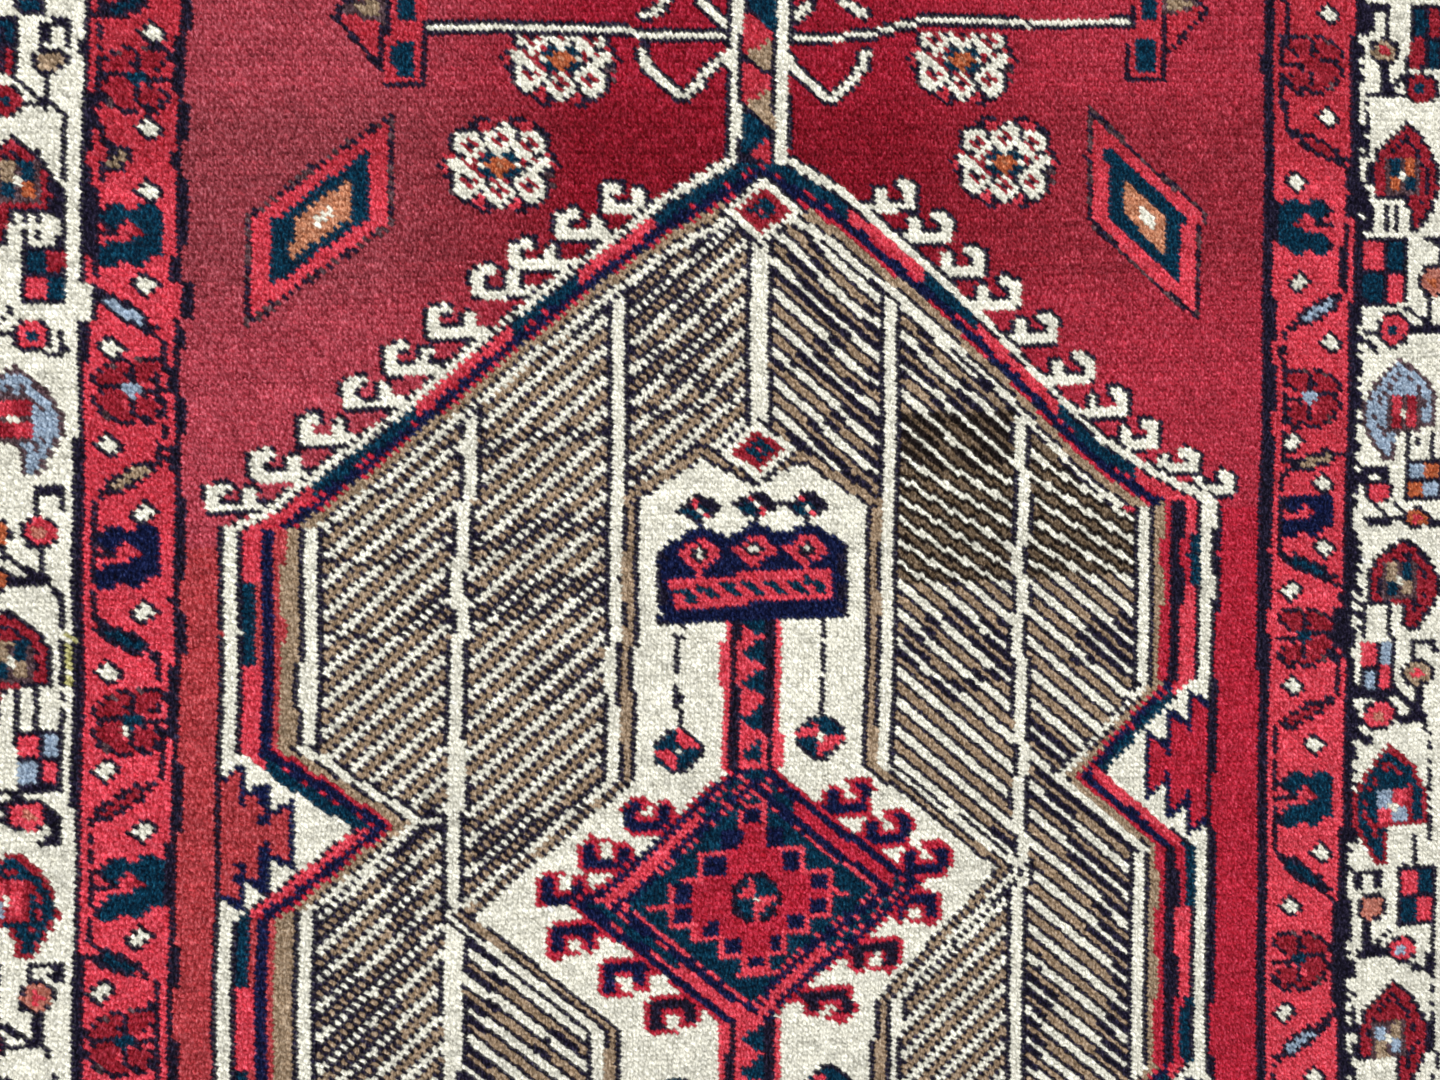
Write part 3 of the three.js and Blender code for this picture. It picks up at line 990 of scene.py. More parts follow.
# Sizes of the cloth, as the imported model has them
COLUMN_PITCH = 3.4 * MM
ROW_PITCH = 2.95 * MM
WIDTH = COLUMNS * COLUMN_PITCH
LENGTH = ROWS * ROW_PITCH
RACK_ANGLE = math.radians(2.95)
FOUNDATION_TOP = 2.8 * MM
PILE_TOP = 11 * MM
SWELL = {"height": 0.3 * MM, "across": 2.5, "along": 1.8, "phase": 0.7}
EDGE_WAVES = {
    "left": {"tall": 0.9 * MM, "small": 0.5 * MM, "waves": 1.6, "phase": 0.3},
    "right": {"tall": 1.0 * MM, "small": 0.5 * MM, "waves": 1.3, "phase": 2.1},
    "bottom": {"tall": 0.8 * MM, "small": 0.4 * MM, "waves": 2.2, "phase": 1.2},
    "top": {"tall": 0.9 * MM, "small": 0.4 * MM, "waves": 1.9, "phase": 3.4},
}
SMALL_WAVE_RATIO = 3.7

# The cut edge of the pile from the top down: height, and how far its tufts lean out there
RIM_OUT = 0.8 * MM
EDGE_LEVELS = [(8.6 * MM, 2.0 * MM), (5.2 * MM, 1.4 * MM), (2.9 * MM, 0.0)]

# Tufts: how deep the grooves between them are, and how far each corner is parted
GROOVE = 0.9 * MM
PART_ACROSS, PART_ALONG = 0.22, 0.26
CORNER_WANDER = 0.19
CAP_REACH, CAP_REACH_WANDER = 0.6, 0.3
ROW_HEIGHT_WANDER = 0.14 * MM
TUFT_HEIGHT_WANDER = 0.3 * MM
CAP_HEIGHT_WANDER = 0.2 * MM
GROOVE_WANDER = 0.15 * MM
PART_WANDER = 0.35
CAP_TONE_WANDER = 0.08

# The pile is made in bands of rows
BANDS = 6
BAND_ROWS = ROWS // BANDS


def edge_offset(side, fraction):
    wave = EDGE_WAVES[side]
    angle = 2 * np.pi * wave["waves"] * fraction + wave["phase"]
    return wave["tall"] * np.sin(angle) + wave["small"] * np.sin(angle * SMALL_WAVE_RATIO)


def place_on_plan(column, row, out):
    """x and y of places counted in knots from the lower left corner, before centring."""
    across, along = column / COLUMNS, row / ROWS
    left = edge_offset("left", along) + out
    right = edge_offset("right", along) + out
    bottom = edge_offset("bottom", across) + out
    top = edge_offset("top", across) + out
    u = (across - 0.5) * WIDTH - left * (1 - across) + right * across
    v = (along - 0.5) * LENGTH - bottom * (1 - along) + top * along
    return u * math.cos(RACK_ANGLE), v + u * math.sin(RACK_ANGLE)


def middle_of_plan():
    """The middle of the cloth's box, which stands over the origin."""
    steps = np.linspace(0, 1, 200)
    column = COLUMNS * np.concatenate([steps, steps, 0 * steps, 0 * steps + 1])
    row = ROWS * np.concatenate([0 * steps, 0 * steps + 1, steps, steps])
    x, y = place_on_plan(column, row, EDGE_LEVELS[0][1])
    return (x.min() + x.max()) / 2, (y.min() + y.max()) / 2


MIDDLE = middle_of_plan()


def points_at(column, row, out, height):
    x, y = place_on_plan(column, row, out)
    return np.stack([x - MIDDLE[0], y - MIDDLE[1], np.broadcast_to(height, x.shape)], -1)


def pile_height(column, row):
    across_wave = np.sin(2 * np.pi * SWELL["across"] * column / COLUMNS + SWELL["phase"])
    along_wave = np.cos(2 * np.pi * SWELL["along"] * row / ROWS - SWELL["phase"])
    return PILE_TOP + SWELL["height"] * across_wave * along_wave


# Corners of the knots: each is parted into a lower left and an upper right point
CORNER_ROW, CORNER_COLUMN = np.meshgrid(np.arange(ROWS + 1.0), np.arange(COLUMNS + 1.0), indexing="ij")


def corner_places():
    """Columns and rows of the two points of each corner, with the small wander of real tufts."""
    shape = CORNER_COLUMN.shape
    column = CORNER_COLUMN + rng.uniform(-CORNER_WANDER, CORNER_WANDER, shape)
    row = CORNER_ROW + rng.uniform(-CORNER_WANDER, CORNER_WANDER, shape)
    part = 1 + rng.uniform(-PART_WANDER, PART_WANDER, shape)
    inner = (CORNER_COLUMN > 0) & (CORNER_COLUMN < COLUMNS) & (CORNER_ROW > 0) & (CORNER_ROW < ROWS)
    column = np.where(inner, column, CORNER_COLUMN)
    row = np.where(inner, row, CORNER_ROW)
    columns = np.stack([column - PART_ACROSS * part, column + PART_ACROSS * part], -1)
    rows = np.stack([row - PART_ALONG * part, row + PART_ALONG * part], -1)
    return columns, rows


def corner_index(row, column, upper_right):
    return 2 * (row * (COLUMNS + 1) + column) + upper_right


def knot_outlines(rows):
    """The six points round each knot of some rows, anticlockwise from its lower left."""
    j, i = np.meshgrid(rows, np.arange(COLUMNS), indexing="ij")
    j, i = j.ravel(), i.ravel()
    return np.stack([
        corner_index(j, i, 1), corner_index(j, i + 1, 0), corner_index(j, i + 1, 1),
        corner_index(j + 1, i + 1, 0), corner_index(j + 1, i, 1), corner_index(j + 1, i, 0),
    ], -1)


# A tuft's triangles: 0 to 5 are its outline, 6 to 9 its cap
TUFT = np.array([
    (0, 1, 7), (0, 7, 6), (1, 2, 7), (2, 3, 8), (2, 8, 7), (3, 4, 9),
    (3, 9, 8), (4, 5, 9), (5, 0, 6), (5, 6, 9), (6, 7, 8), (6, 8, 9),
])
CAP_TOWARDS = [(0, 0), (1, 2), (3, 3), (4, 5)]


def boundary_edges(outlines):
    """The edges that only one knot of a band has, each with the cloth on its left."""
    start = outlines.ravel()
    end = np.roll(outlines, -1, axis=1).ravel()
    count = 2 * (ROWS + 1) * (COLUMNS + 1)
    alone = ~np.isin(start * count + end, end * count + start)
    return start[alone], end[alone]


def in_loop(start, end):
    """The boundary's points, one after the other."""
    follows = dict(zip(start.tolist(), end.tolist()))
    loop = [int(start[0])]
    while follows[loop[-1]] != loop[0]:
        loop.append(follows[loop[-1]])
    return np.array(loop)


class Shell:
    """Points and faces of one mesh, with a colour and a place on its map for each face corner."""

    def __init__(self):
        self.points, self.faces, self.colours, self.maps = [], [], [], []
        self.creases = np.zeros((0, 2), dtype=int)
        self.count = 0

    def add_points(self, points):
        self.points.append(points.reshape(-1, 3))
        first = self.count
        self.count += len(self.points[-1])
        return first + np.arange(len(self.points[-1]))

    def add_faces(self, faces, colours, places):
        """faces is an array of alike faces; colours and places have a row for each face corner."""
        self.faces.append(faces)
        self.colours.append(np.broadcast_to(colours, faces.shape + (3,)).reshape(-1, 3))
        self.maps.append(np.broadcast_to(places, faces.shape + (2,)).reshape(-1, 2))

    def crease(self, mesh):
        """Keeps the shading of the two sides of some edges apart."""
        ends = np.zeros(2 * len(mesh.edges), dtype=np.int32)
        mesh.edges.foreach_get("vertices", ends)
        key = np.sort(ends.reshape(-1, 2), axis=1) @ [self.count, 1]
        wanted = np.sort(self.creases, axis=1) @ [self.count, 1]
        sharp = mesh.attributes.new("sharp_edge", "BOOLEAN", "EDGE")
        sharp.data.foreach_set("value", np.isin(key, wanted))

    def build(self, name, material):
        mesh = bpy.data.meshes.new(name)
        points = np.concatenate(self.points)
        corners = np.concatenate([f.ravel() for f in self.faces])
        sizes = np.concatenate([np.full(len(f), f.shape[1]) for f in self.faces])
        mesh.vertices.add(len(points))
        mesh.vertices.foreach_set("co", points.astype(np.float32).ravel())
        mesh.loops.add(len(corners))
        mesh.loops.foreach_set("vertex_index", corners.astype(np.int32))
        mesh.polygons.add(len(sizes))
        mesh.polygons.foreach_set("loop_start", (np.cumsum(sizes) - sizes).astype(np.int32))
        mesh.update(calc_edges=True)
        colours = np.concatenate(self.colours)
        colours = np.concatenate([colours, np.ones((len(colours), 1))], 1)
        layer = mesh.color_attributes.new("dye", "FLOAT_COLOR", "CORNER")
        layer.data.foreach_set("color", colours.astype(np.float32).ravel())
        flat_map = mesh.uv_layers.new(name="OFBake")
        flat_map.uv.foreach_set("vector", np.concatenate(self.maps).astype(np.float32).ravel())
        mesh.materials.append(material)
        mesh.polygons.foreach_set("use_smooth", np.ones(len(sizes), dtype=bool))
        self.crease(mesh)
        mesh.update()
        mesh.validate()
        piece = bpy.data.objects.new(name, mesh)
        bpy.context.scene.collection.objects.link(piece)
        return piece


# Flat map of a band: three lengths of it, one above the other, and its hidden faces at the right
MAP_LENGTHS = 3
MAP_COLUMNS = math.ceil(COLUMNS / MAP_LENGTHS)
MAP_MARGIN = 12 * MM
MAP_SIDE = 440 * MM
HIDDEN_SCALE = 0.09
HIDDEN_PLACE = (0.86, 0.5)
# Place and scale of the foundation's upper face, hidden by the pile, on its own map
TOP_FACE_PLACE, TOP_FACE_SCALE = (0.5, 0.93), (0.1, 0.05)


def map_place(column, row, first_row, length, fall):
    """Place on the map of a point, from its knots, its band, its length and its fall past the rim."""
    u = (column - length * MAP_COLUMNS) * COLUMN_PITCH + fall[..., 0] + MAP_MARGIN
    v = (row - first_row) * ROW_PITCH + fall[..., 1] + MAP_MARGIN
    v = v + length * (BAND_ROWS * ROW_PITCH + 2 * MAP_MARGIN)
    return np.stack([u, v], -1) / MAP_SIDE


def hidden_place(column, row, first_row, fall):
    u = (column - COLUMNS / 2) * COLUMN_PITCH * HIDDEN_SCALE
    v = ((row - first_row - BAND_ROWS / 2) * ROW_PITCH + fall[..., 1]) * HIDDEN_SCALE
    return np.stack([u / MAP_SIDE + HIDDEN_PLACE[0], v / MAP_SIDE + HIDDEN_PLACE[1]], -1)


def blended_corners(dye):
    """The mean colour of the knots that meet at each corner point."""
    outlines = knot_outlines(np.arange(ROWS))
    count = 2 * (ROWS + 1) * (COLUMNS + 1)
    total = np.zeros((count, 3))
    knots = np.zeros((count, 1))
    tone = dye.reshape(-1, 3)
    for k in range(6):
        np.add.at(total, outlines[:, k], tone)
        np.add.at(knots, outlines[:, k], 1)
    return total / np.maximum(knots, 1)


def cap_places(knot, around):
    """Columns, rows and heights of the four points on top of each tuft."""
    middle = around.mean(1, keepdims=True)
    targets = np.stack([(around[:, a] + around[:, b]) / 2 for a, b in CAP_TOWARDS], 1)
    reach = CAP_REACH * (1 + CAP_NOISE["reach"].reshape(-1, 4)[knot])[..., None]
    caps = middle + reach * (targets - middle)
    height = pile_height(caps[..., 0], caps[..., 1])
    height = height + CAP_NOISE["tuft"].reshape(-1)[knot][:, None] + CAP_NOISE["corner"].reshape(-1, 4)[knot]
    return caps, height


def tuft_colours(knot, outlines, dye, blend):
    """Colours of a tuft's outline and cap: the outline is darker with painted shade of the groove, and takes
    on its neighbours' wool.
    """
    tone = dye.reshape(-1, 3)[knot][:, None]
    rim_tone = GROOVE_SHADE * (tone + BLEED * (blend[outlines] - tone))
    cap_tone = tone * CAP_NOISE["tone"].reshape(-1, 4, 1)[knot]
    return np.concatenate([rim_tone, cap_tone], 1)


def add_tufts(shell, knot, outline, around, colours, first_row):
    """Joins each outline to a cap of its own."""
    caps, height = cap_places(knot, around)
    cap = shell.add_points(points_at(caps[..., 0], caps[..., 1], RIM_OUT, height)).reshape(-1, 4)
    places = np.concatenate([around, caps], 1)
    length = (knot % COLUMNS) // MAP_COLUMNS
    spot = map_place(places[..., 0], places[..., 1], first_row, length[:, None], np.zeros(places.shape))
    faces = np.concatenate([outline, cap], 1)[:, TUFT].reshape(-1, 3)
    shell.add_faces(faces, colours[:, TUFT].reshape(-1, 3, 3), spot[:, TUFT].reshape(-1, 3, 2))


def outward(column, row, first_row):
    """Which way out of its band each point of the boundary faces, across and along."""
    return np.stack([
        (column > COLUMNS - 0.5) * 1.0 - (column < 0.5),
        (row > first_row + BAND_ROWS - 0.5) * 1.0 - (row < first_row + 0.5),
    ], -1)


def add_walls(shell, at, column, row, first_row, dye):
    """Walls from the rim down, in rings. Gives the lowest ring."""
    following = np.roll(np.arange(len(at)), -1)
    own = np.arange(len(at))
    who = np.stack([own, following, following, own], -1)
    nearest = np.clip(column.astype(int), 0, COLUMNS - 1)
    nearest_row = np.clip(row.astype(int), first_row, first_row + BAND_ROWS - 1)
    # Painted shade on the walls, darker at their foot
    colours = dye[nearest_row, nearest][:, None] * np.array(WALL_SHADE)[None, :, None] * np.ones((1, 4, 1))
    lengths = np.clip(nearest // MAP_COLUMNS, 0, MAP_LENGTHS - 1)[:, None]
    side = outward(column, row, first_row)
    # Walls towards the next band are hidden
    outer_side = side[who]
    if first_row > 0:
        outer_side[..., 1] = np.maximum(outer_side[..., 1], 0)
    if first_row + BAND_ROWS < ROWS:
        outer_side[..., 1] = np.minimum(outer_side[..., 1], 0)
    visible = np.abs(outer_side).sum((1, 2)) > 0
    shell.creases = np.stack([at, at[following]], -1)[~visible]
    upper, fallen = at, np.zeros(len(at))
    last_height, last_out = PILE_TOP, RIM_OUT
    for height, out in EDGE_LEVELS:
        lower = shell.add_points(points_at(column, row, out, height))
        now = fallen + math.hypot(last_height - height, out - last_out)
        quads = np.stack([lower, lower[following], upper[following], upper], -1)
        falls = np.stack([now, now[following], fallen[following], fallen], -1)[..., None]
        shown = map_place(column[who], row[who], first_row, lengths, outer_side * falls)
        unseen = hidden_place(column[who], row[who], first_row, side[who] * falls)
        shell.add_faces(quads, colours, np.where(visible[:, None, None], shown, unseen))
        upper, fallen, last_height, last_out = lower, now, height, out
    return upper


def make_band(number, corners, tops, dye, blend):
    """One band of the pile, closed all round: its tufts, its walls and the face below."""
    first_row = number * BAND_ROWS
    rows = np.arange(first_row, first_row + BAND_ROWS)
    outlines = knot_outlines(rows)
    used, outline = np.unique(outlines, return_inverse=True)
    outline = outline.reshape(outlines.shape)
    column, row = corners[0].reshape(-1)[used], corners[1].reshape(-1)[used]
    shell = Shell()
    shell.add_points(points_at(column, row, RIM_OUT, tops.reshape(-1)[used]))
    around = np.stack([column[outline], row[outline]], -1)
    knot = (rows[:, None] * COLUMNS + np.arange(COLUMNS)).ravel()
    add_tufts(shell, knot, outline, around, tuft_colours(knot, outlines, dye, blend), first_row)

    at = np.searchsorted(used, in_loop(*boundary_edges(outlines)))
    column, row = column[at], row[at]
    lowest = add_walls(shell, at, column, row, first_row, dye)
    spots = hidden_place(column, row, first_row, np.zeros((len(at), 2)))
    shell.add_faces(lowest[::-1][None], np.array(UNDYED), spots[::-1][None])
    return shell


def make_foundation(dye):
    """The slab of warps, wefts and knot collars: a quad for each knot below, plain above."""
    shell = Shell()
    j, i = CORNER_ROW, CORNER_COLUMN
    below = shell.add_points(points_at(i, j, 0, 0.0)).reshape(j.shape)
    quads = np.stack([below[1:, :-1], below[1:, 1:], below[:-1, 1:], below[:-1, :-1]], -1).reshape(-1, 4)
    fold = WIDTH + 2 * MAP_MARGIN
    spot = np.stack([(i * COLUMN_PITCH + MAP_MARGIN) / fold, (j * ROW_PITCH + MAP_MARGIN) / fold], -1)
    spots = np.stack([spot[1:, :-1], spot[1:, 1:], spot[:-1, 1:], spot[:-1, :-1]], -2).reshape(-1, 4, 2)
    shell.add_faces(quads, (dye * BACK_SHADE).reshape(-1, 1, 3), spots)
    rim = np.concatenate([
        below[0, :-1], below[:-1, -1], below[-1, :0:-1], below[:0:-1, 0],
    ])
    column, row = i.ravel()[rim], j.ravel()[rim]
    above = shell.add_points(points_at(column, row, 0, FOUNDATION_TOP))
    following = np.roll(np.arange(len(rim)), -1)
    sides = np.stack([rim, rim[following], above[following], above], -1)
    fall = FOUNDATION_TOP * np.stack([
        (column == COLUMNS) * 1.0 - (column == 0), (row == ROWS) * 1.0 - (row == 0),
    ], -1) / fold
    low = spot.reshape(-1, 2)[rim]
    high = low + fall
    shell.add_faces(
        sides, np.array(UNDYED), np.stack([low, low[following], high[following], high], -2))
    small = np.stack([column / COLUMNS - 0.5, row / ROWS - 0.5], -1) * TOP_FACE_SCALE + TOP_FACE_PLACE
    shell.add_faces(above[None], np.array(UNDYED), small[None])
    return shell


# Colours of single knots
# Painted shade of the grooves between tufts, at each tuft's outline
GROOVE_SHADE = 0.7
BLEED = 0.5
# Painted shade of the cut walls of the pile, at the lower and the upper points of each face
WALL_SHADE = (0.8, 0.8, 0.9, 0.9)
BACK_SHADE = 0.85
UNDYED = (0.55, 0.47, 0.36)
KNOT_VARIATION = 0.09
ROW_VARIATION = 0.045

# Bars of wool from a deeper or a lighter dye batch: lowest row, highest row, lightness
BATCHES = {
    "field": [(48, 92, 0.76), (-10, 46, 1.1)],
    "coral": [(72, 120, 0.74), (4, 34, 0.88), (-126, -12, 1.05)],
}
BATCH_EDGE = 6
BATCH_DEPTH = (1.0, 1.5, 1.4)

# How much is added to the field's colour towards each side, in red, green and blue: on the left it is
# painted sheen of the light on the pile, on the right the field is lighter and redder
FIELD_SHEEN_AND_LIFT = {"left": (0.07, 0.045, 0.05), "right": (0.075, 0.02, 0.025)}


def batch_tone(bars):
    """Lightness that a wool's batches give it at each knot."""
    tone = np.ones(chart.shape)
    for lowest, highest, lightness in bars:
        bar = np.clip((R - lowest) / BATCH_EDGE, 0, 1) * np.clip((highest - R) / BATCH_EDGE, 0, 1)
        tone = tone * (1 + bar * (lightness - 1))
    return tone


def dyed_knots():
    """The colour of each knot: its wool, its batch, its row, its own small difference, and painted sheen
    towards the field's left side.
    """
    colour = np.array([WOOLS[name] for name in NAMES])[chart]
    for wool, bars in BATCHES.items():
        here = chart == NAMES.index(wool)
        tone = batch_tone(bars)[here][:, None]
        colour[here] = colour[here] * tone ** np.array(BATCH_DEPTH)
    field = (chart == NAMES.index("field"))[..., None]
    # Painted sheen makes the field paler towards the left; towards the right its red is lighter
    colour = colour + field * np.clip((-C - 25) / 35, 0, 1)[..., None] * np.array(FIELD_SHEEN_AND_LIFT["left"])
    colour = colour + field * np.clip((C - 30) / 35, 0, 1)[..., None] * np.array(FIELD_SHEEN_AND_LIFT["right"])
    row_tone = 1 + rng.normal(0, ROW_VARIATION, (ROWS, 1))
    tone = row_tone * (1 + rng.normal(0, KNOT_VARIATION, chart.shape))
    return np.clip(colour * tone[..., None], 0, 1)


# Materials: scales of the noises, per metre, and the reach of what each one changes
FIBRE_TURN = math.radians(42)
LOCKS = {"scale": 720, "stretch": (1.0, 0.45, 0.5), "gamma": (1.5, 0.68), "tone": (0.58, 1.42)}
FIBRES = {"scale": 2600, "stretch": (1.0, 0.3, 0.4), "tone": (0.7, 1.3), "flecks": (-0.06, 0.035)}
NAP = {"scale": 38, "tone": (0.88, 1.12), "roughness": (0.78, 0.95)}
FLECK_COLOUR = (0.6, 0.5, 0.5, 1)
YARN = {"scale": 1400, "tone": (0.75, 1.15), "roughness": (0.82, 0.96)}
FLOOR = {"scale": 6, "colour": (0.70, 0.68, 0.65, 1), "tone": (0.98, 1.02)}
NOISE_LOW, NOISE_HIGH = 0.25, 0.75


def math_node(tree, operation, a, b):
    made = tree.nodes.new("ShaderNodeMath")
    made.operation = operation
    for socket, value in zip(made.inputs, (a, b)):
        if isinstance(value, (int, float)):
            socket.default_value = value
        else:
            tree.links.new(value, socket)
    return made.outputs[0]


def scaled_noise(tree, scale, detail, stretch=(1, 1, 1), turn=0.0):
    """A noise in the cloth's own frame, stretched along one direction."""
    place = tree.nodes.new("ShaderNodeTexCoord").outputs["Object"]
    mapping = tree.nodes.new("ShaderNodeMapping")
    mapping.inputs["Rotation"].default_value = (0, 0, turn)
    mapping.inputs["Scale"].default_value = stretch
    tree.links.new(place, mapping.inputs["Vector"])
    noise = tree.nodes.new("ShaderNodeTexNoise")
    noise.inputs["Scale"].default_value = scale
    noise.inputs["Detail"].default_value = detail
    noise.inputs["Roughness"].default_value = 0.6
    tree.links.new(mapping.outputs["Vector"], noise.inputs["Vector"])
    return noise.outputs["Fac"]


def spread(tree, value, low, high):
    made = tree.nodes.new("ShaderNodeMapRange")
    made.inputs["From Min"].default_value = NOISE_LOW
    made.inputs["From Max"].default_value = NOISE_HIGH
    made.inputs["To Min"].default_value = low
    made.inputs["To Max"].default_value = high
    tree.links.new(value, made.inputs["Value"])
    return made.outputs["Result"]


def tinted(tree, colour, factor):
    mix = tree.nodes.new("ShaderNodeVectorMath")
    mix.operation = "SCALE"
    tree.links.new(colour, mix.inputs[0])
    tree.links.new(factor, mix.inputs["Scale"])
    return mix.outputs["Vector"]


def flecked(tree, colour, amount, pale):
    """A colour mixed with a pale one, as where fibre tips catch the light."""
    mix = tree.nodes.new("ShaderNodeMix")
    mix.data_type = "RGBA"
    tree.links.new(amount, mix.inputs["Factor"])
    tree.links.new(colour, mix.inputs["A"])
    mix.inputs["B"].default_value = pale
    return mix.outputs["Result"]


def wool_material():
    """Dyed wool pile: fibres stand in loose locks, so each tuft is flecked with light and shade."""
    material = bpy.data.materials.new("dyed_wool_pile")
    material.use_nodes = True
    tree = material.node_tree
    shader = tree.nodes["Principled BSDF"]
    dye = tree.nodes.new("ShaderNodeVertexColor")
    dye.layer_name = "dye"
    locks = scaled_noise(tree, LOCKS["scale"], 3, LOCKS["stretch"], FIBRE_TURN)
    depth = tree.nodes.new("ShaderNodeGamma")
    tree.links.new(dye.outputs["Color"], depth.inputs["Color"])
    tree.links.new(spread(tree, locks, *LOCKS["gamma"]), depth.inputs["Gamma"])
    fibres = scaled_noise(tree, FIBRES["scale"], 3, FIBRES["stretch"], FIBRE_TURN)
    nap = scaled_noise(tree, NAP["scale"], 3)
    tone = math_node(tree, "MULTIPLY", spread(tree, locks, *LOCKS["tone"]), spread(tree, nap, *NAP["tone"]))
    tone = math_node(tree, "MULTIPLY", tone, spread(tree, fibres, *FIBRES["tone"]))
    flecks = spread(tree, fibres, *FIBRES["flecks"])
    colour = flecked(tree, tinted(tree, depth.outputs["Color"], tone), flecks, FLECK_COLOUR)
    tree.links.new(colour, shader.inputs["Base Color"])
    tree.links.new(spread(tree, nap, *NAP["roughness"]), shader.inputs["Roughness"])
    shader.inputs["Specular IOR Level"].default_value = 0.04
    shader.inputs["Sheen Weight"].default_value = 0.01
    shader.inputs["Sheen Roughness"].default_value = 0.5
    bump = tree.nodes.new("ShaderNodeBump")
    bump.inputs["Strength"].default_value = 0.8
    bump.inputs["Distance"].default_value = 0.45 * MM
    height = math_node(tree, "ADD", locks, math_node(tree, "MULTIPLY", fibres, 0.4))
    tree.links.new(height, bump.inputs["Height"])
    tree.links.new(bump.outputs["Normal"], shader.inputs["Normal"])
    return material


def foundation_material():
    """The back: collars of the knots in their colours, in pairs, with a weft between the rows."""
    material = bpy.data.materials.new("knotted_foundation")
    material.use_nodes = True
    tree = material.node_tree
    shader = tree.nodes["Principled BSDF"]
    dye = tree.nodes.new("ShaderNodeVertexColor")
    dye.layer_name = "dye"
    place = tree.nodes.new("ShaderNodeTexCoord").outputs["Object"]
    axes = tree.nodes.new("ShaderNodeSeparateXYZ")
    tree.links.new(place, axes.inputs[0])
    rack = math_node(tree, "MULTIPLY", axes.outputs["X"], -math.tan(RACK_ANGLE))
    along = math_node(tree, "ADD", axes.outputs["Y"], rack)
    row_wave = math_node(tree, "SINE", math_node(tree, "MULTIPLY", along, 2 * math.pi / ROW_PITCH), 0)
    collar_pitch = COLUMN_PITCH * math.cos(RACK_ANGLE) / 2
    column_wave = math_node(
        tree, "SINE", math_node(tree, "MULTIPLY", axes.outputs["X"], 2 * math.pi / collar_pitch), 0)
    yarn = scaled_noise(tree, YARN["scale"], 3)
    relief = math_node(tree, "ADD", row_wave, math_node(tree, "MULTIPLY", column_wave, 0.6))
    relief = math_node(tree, "ADD", relief, math_node(tree, "MULTIPLY", yarn, 0.7))
    tone = math_node(
        tree, "MULTIPLY", spread(tree, yarn, *YARN["tone"]),
        math_node(tree, "ADD", math_node(tree, "MULTIPLY", row_wave, 0.12), 0.9))
    tree.links.new(tinted(tree, dye.outputs["Color"], tone), shader.inputs["Base Color"])
    tree.links.new(spread(tree, yarn, *YARN["roughness"]), shader.inputs["Roughness"])
    shader.inputs["Specular IOR Level"].default_value = 0.2
    bump = tree.nodes.new("ShaderNodeBump")
    bump.inputs["Strength"].default_value = 0.9
    bump.inputs["Distance"].default_value = 0.35 * MM
    tree.links.new(relief, bump.inputs["Height"])
    tree.links.new(bump.outputs["Normal"], shader.inputs["Normal"])
    return material


def floor_material():
    material = bpy.data.materials.new("pale_floor")
    material.use_nodes = True
    tree = material.node_tree
    shader = tree.nodes["Principled BSDF"]
    mottle = scaled_noise(tree, FLOOR["scale"], 4)
    pale = tree.nodes.new("ShaderNodeRGB")
    pale.outputs[0].default_value = FLOOR["colour"]
    colour = tinted(tree, pale.outputs[0], spread(tree, mottle, *FLOOR["tone"]))
    tree.links.new(colour, shader.inputs["Base Color"])
    shader.inputs["Roughness"].default_value = 0.8
    return material


# Stage
FLOOR_SIZE = 8.0
AIM = Vector((-30.6 * MM, 17.7 * MM, PILE_TOP))
CAMERA = {
    "distance": 642.5 * MM, "lens": 27.05, "sensor": 36.0,
    "roll": -0.727, "pitch": 0.272, "yaw": 6.265,
}


def make_floor():
    mesh = bpy.data.meshes.new("floor")
    half = FLOOR_SIZE / 2
    corners = [(-half, -half, 0), (half, -half, 0), (half, half, 0), (-half, half, 0)]
    mesh.from_pydata(corners, [], [(0, 1, 2, 3)])
    floor = bpy.data.objects.new("floor", mesh)
    floor.location.z = -0.3 * MM
    mesh.materials.append(floor_material())
    bpy.context.scene.collection.objects.link(floor)


def add_area_light(name, place, size, power, colour):
    data = bpy.data.lights.new(name, "AREA")
    data.shape = "RECTANGLE"
    data.size, data.size_y = size
    data.energy = power
    data.color = colour
    light = bpy.data.objects.new(name, data)
    light.location = place
    light.rotation_euler = (-Vector(place)).to_track_quat("-Z", "Y").to_euler()
    bpy.context.scene.collection.objects.link(light)


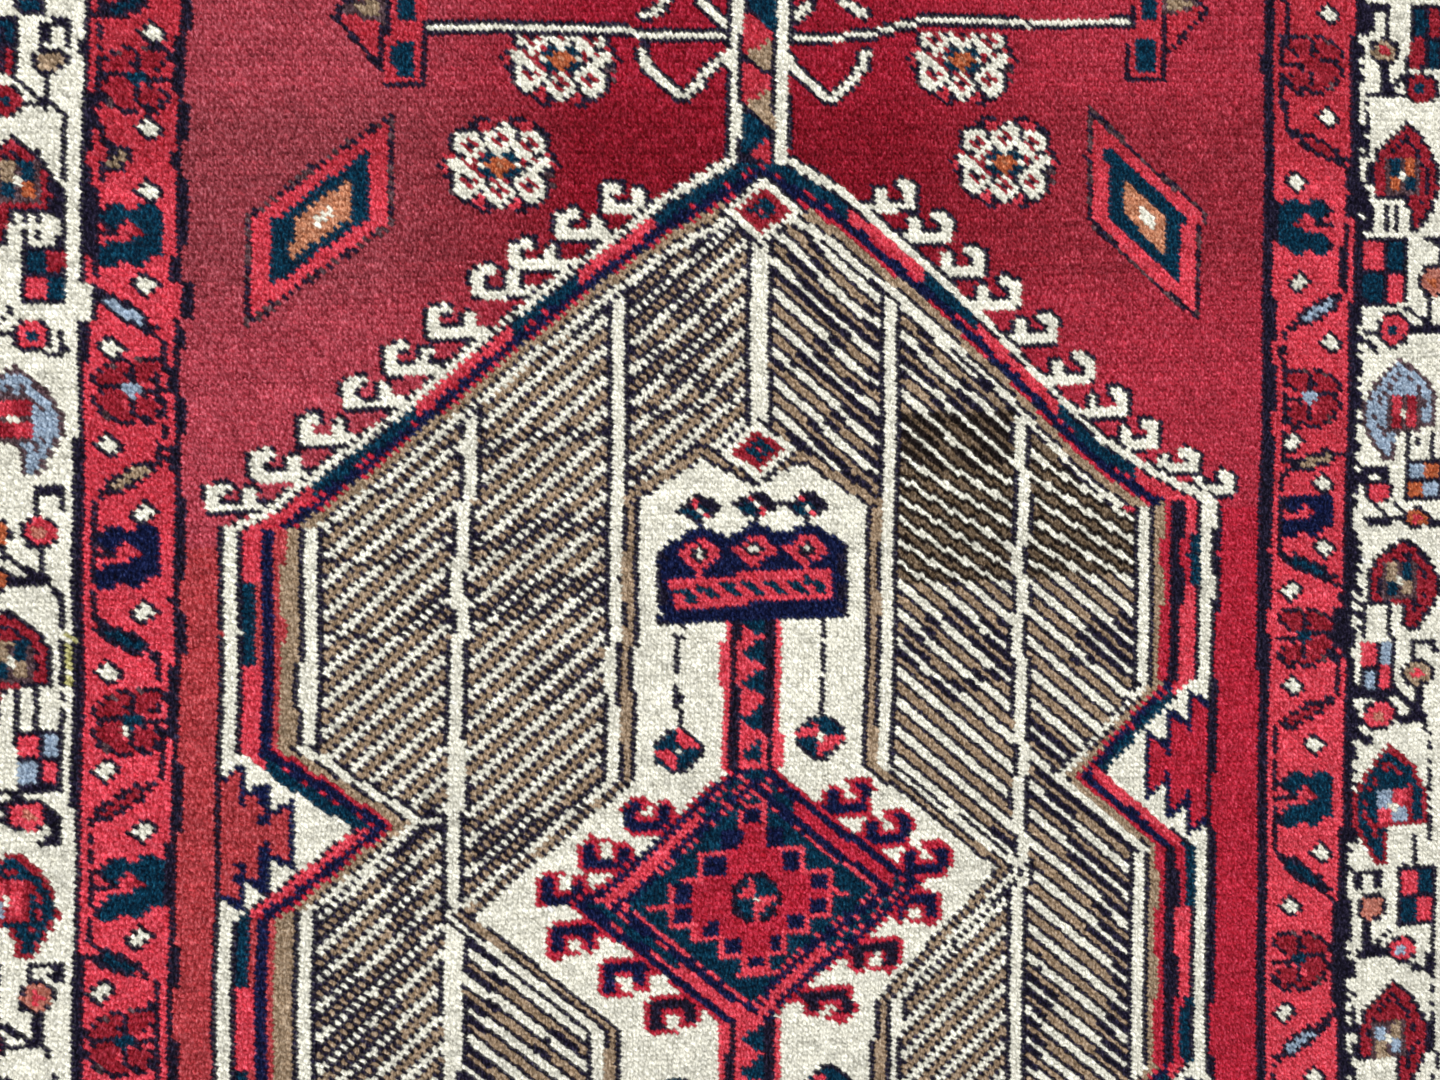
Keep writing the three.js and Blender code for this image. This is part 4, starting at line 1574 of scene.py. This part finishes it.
def make_lights():
    add_area_light("window", (-1.5, 1.9, 1.9), (1.6, 1.2), 48, (1.0, 0.98, 0.95))
    add_area_light("overhead", (0.4, -0.2, 2.4), (2.2, 2.2), 39, (1.0, 1.0, 1.0))
    world = bpy.data.worlds.new("studio")
    world.use_nodes = True
    background = world.node_tree.nodes["Background"]
    background.inputs["Color"].default_value = (1.0, 1.0, 1.0, 1)
    background.inputs["Strength"].default_value = 0.47
    bpy.context.scene.world = world
    bpy.context.scene.view_settings.view_transform = "Standard"


def make_camera():
    """The camera looks almost straight down, from a little to the left of where it aims."""
    turn = Matrix.Rotation(math.radians(CAMERA["roll"]), 3, "Z")
    turn = turn @ Matrix.Rotation(math.radians(CAMERA["pitch"]), 3, "X")
    turn = turn @ Matrix.Rotation(math.radians(CAMERA["yaw"]), 3, "Y")
    data = bpy.data.cameras.new("camera")
    data.sensor_width = CAMERA["sensor"]
    data.lens = CAMERA["lens"]
    data.clip_start = 0.01
    camera = bpy.data.objects.new("camera", data)
    in_world = turn.transposed()
    place = AIM + in_world @ Vector((0, 0, CAMERA["distance"]))
    camera.matrix_world = Matrix.Translation(place) @ in_world.to_4x4()
    bpy.context.scene.collection.objects.link(camera)
    bpy.context.scene.camera = camera


# The cloth
paint_all()
dye = dyed_knots()
corners = corner_places()
blend = blended_corners(dye)
tops = pile_height(*corners) - GROOVE + rng.normal(0, GROOVE_WANDER, corners[0].shape)
row_heights = rng.normal(0, ROW_HEIGHT_WANDER, (ROWS, 1))
CAP_NOISE = {
    "tuft": row_heights + rng.normal(0, TUFT_HEIGHT_WANDER, chart.shape),
    "corner": rng.normal(0, CAP_HEIGHT_WANDER, chart.shape + (4,)),
    "reach": rng.uniform(-CAP_REACH_WANDER, CAP_REACH_WANDER, chart.shape + (4,)),
    "tone": 1 + rng.normal(0, CAP_TONE_WANDER, chart.shape + (4,)),
}
wool = wool_material()
bands = [make_band(k, corners, tops, dye, blend).build(f"pile_{k + 1}", wool) for k in range(BANDS)]
foundation = make_foundation(dye).build("foundation", foundation_material())

for band in bands:
    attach(band, "root")
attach(foundation, "root")
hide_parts("rug_piece")

make_floor()
make_lights()
make_camera()
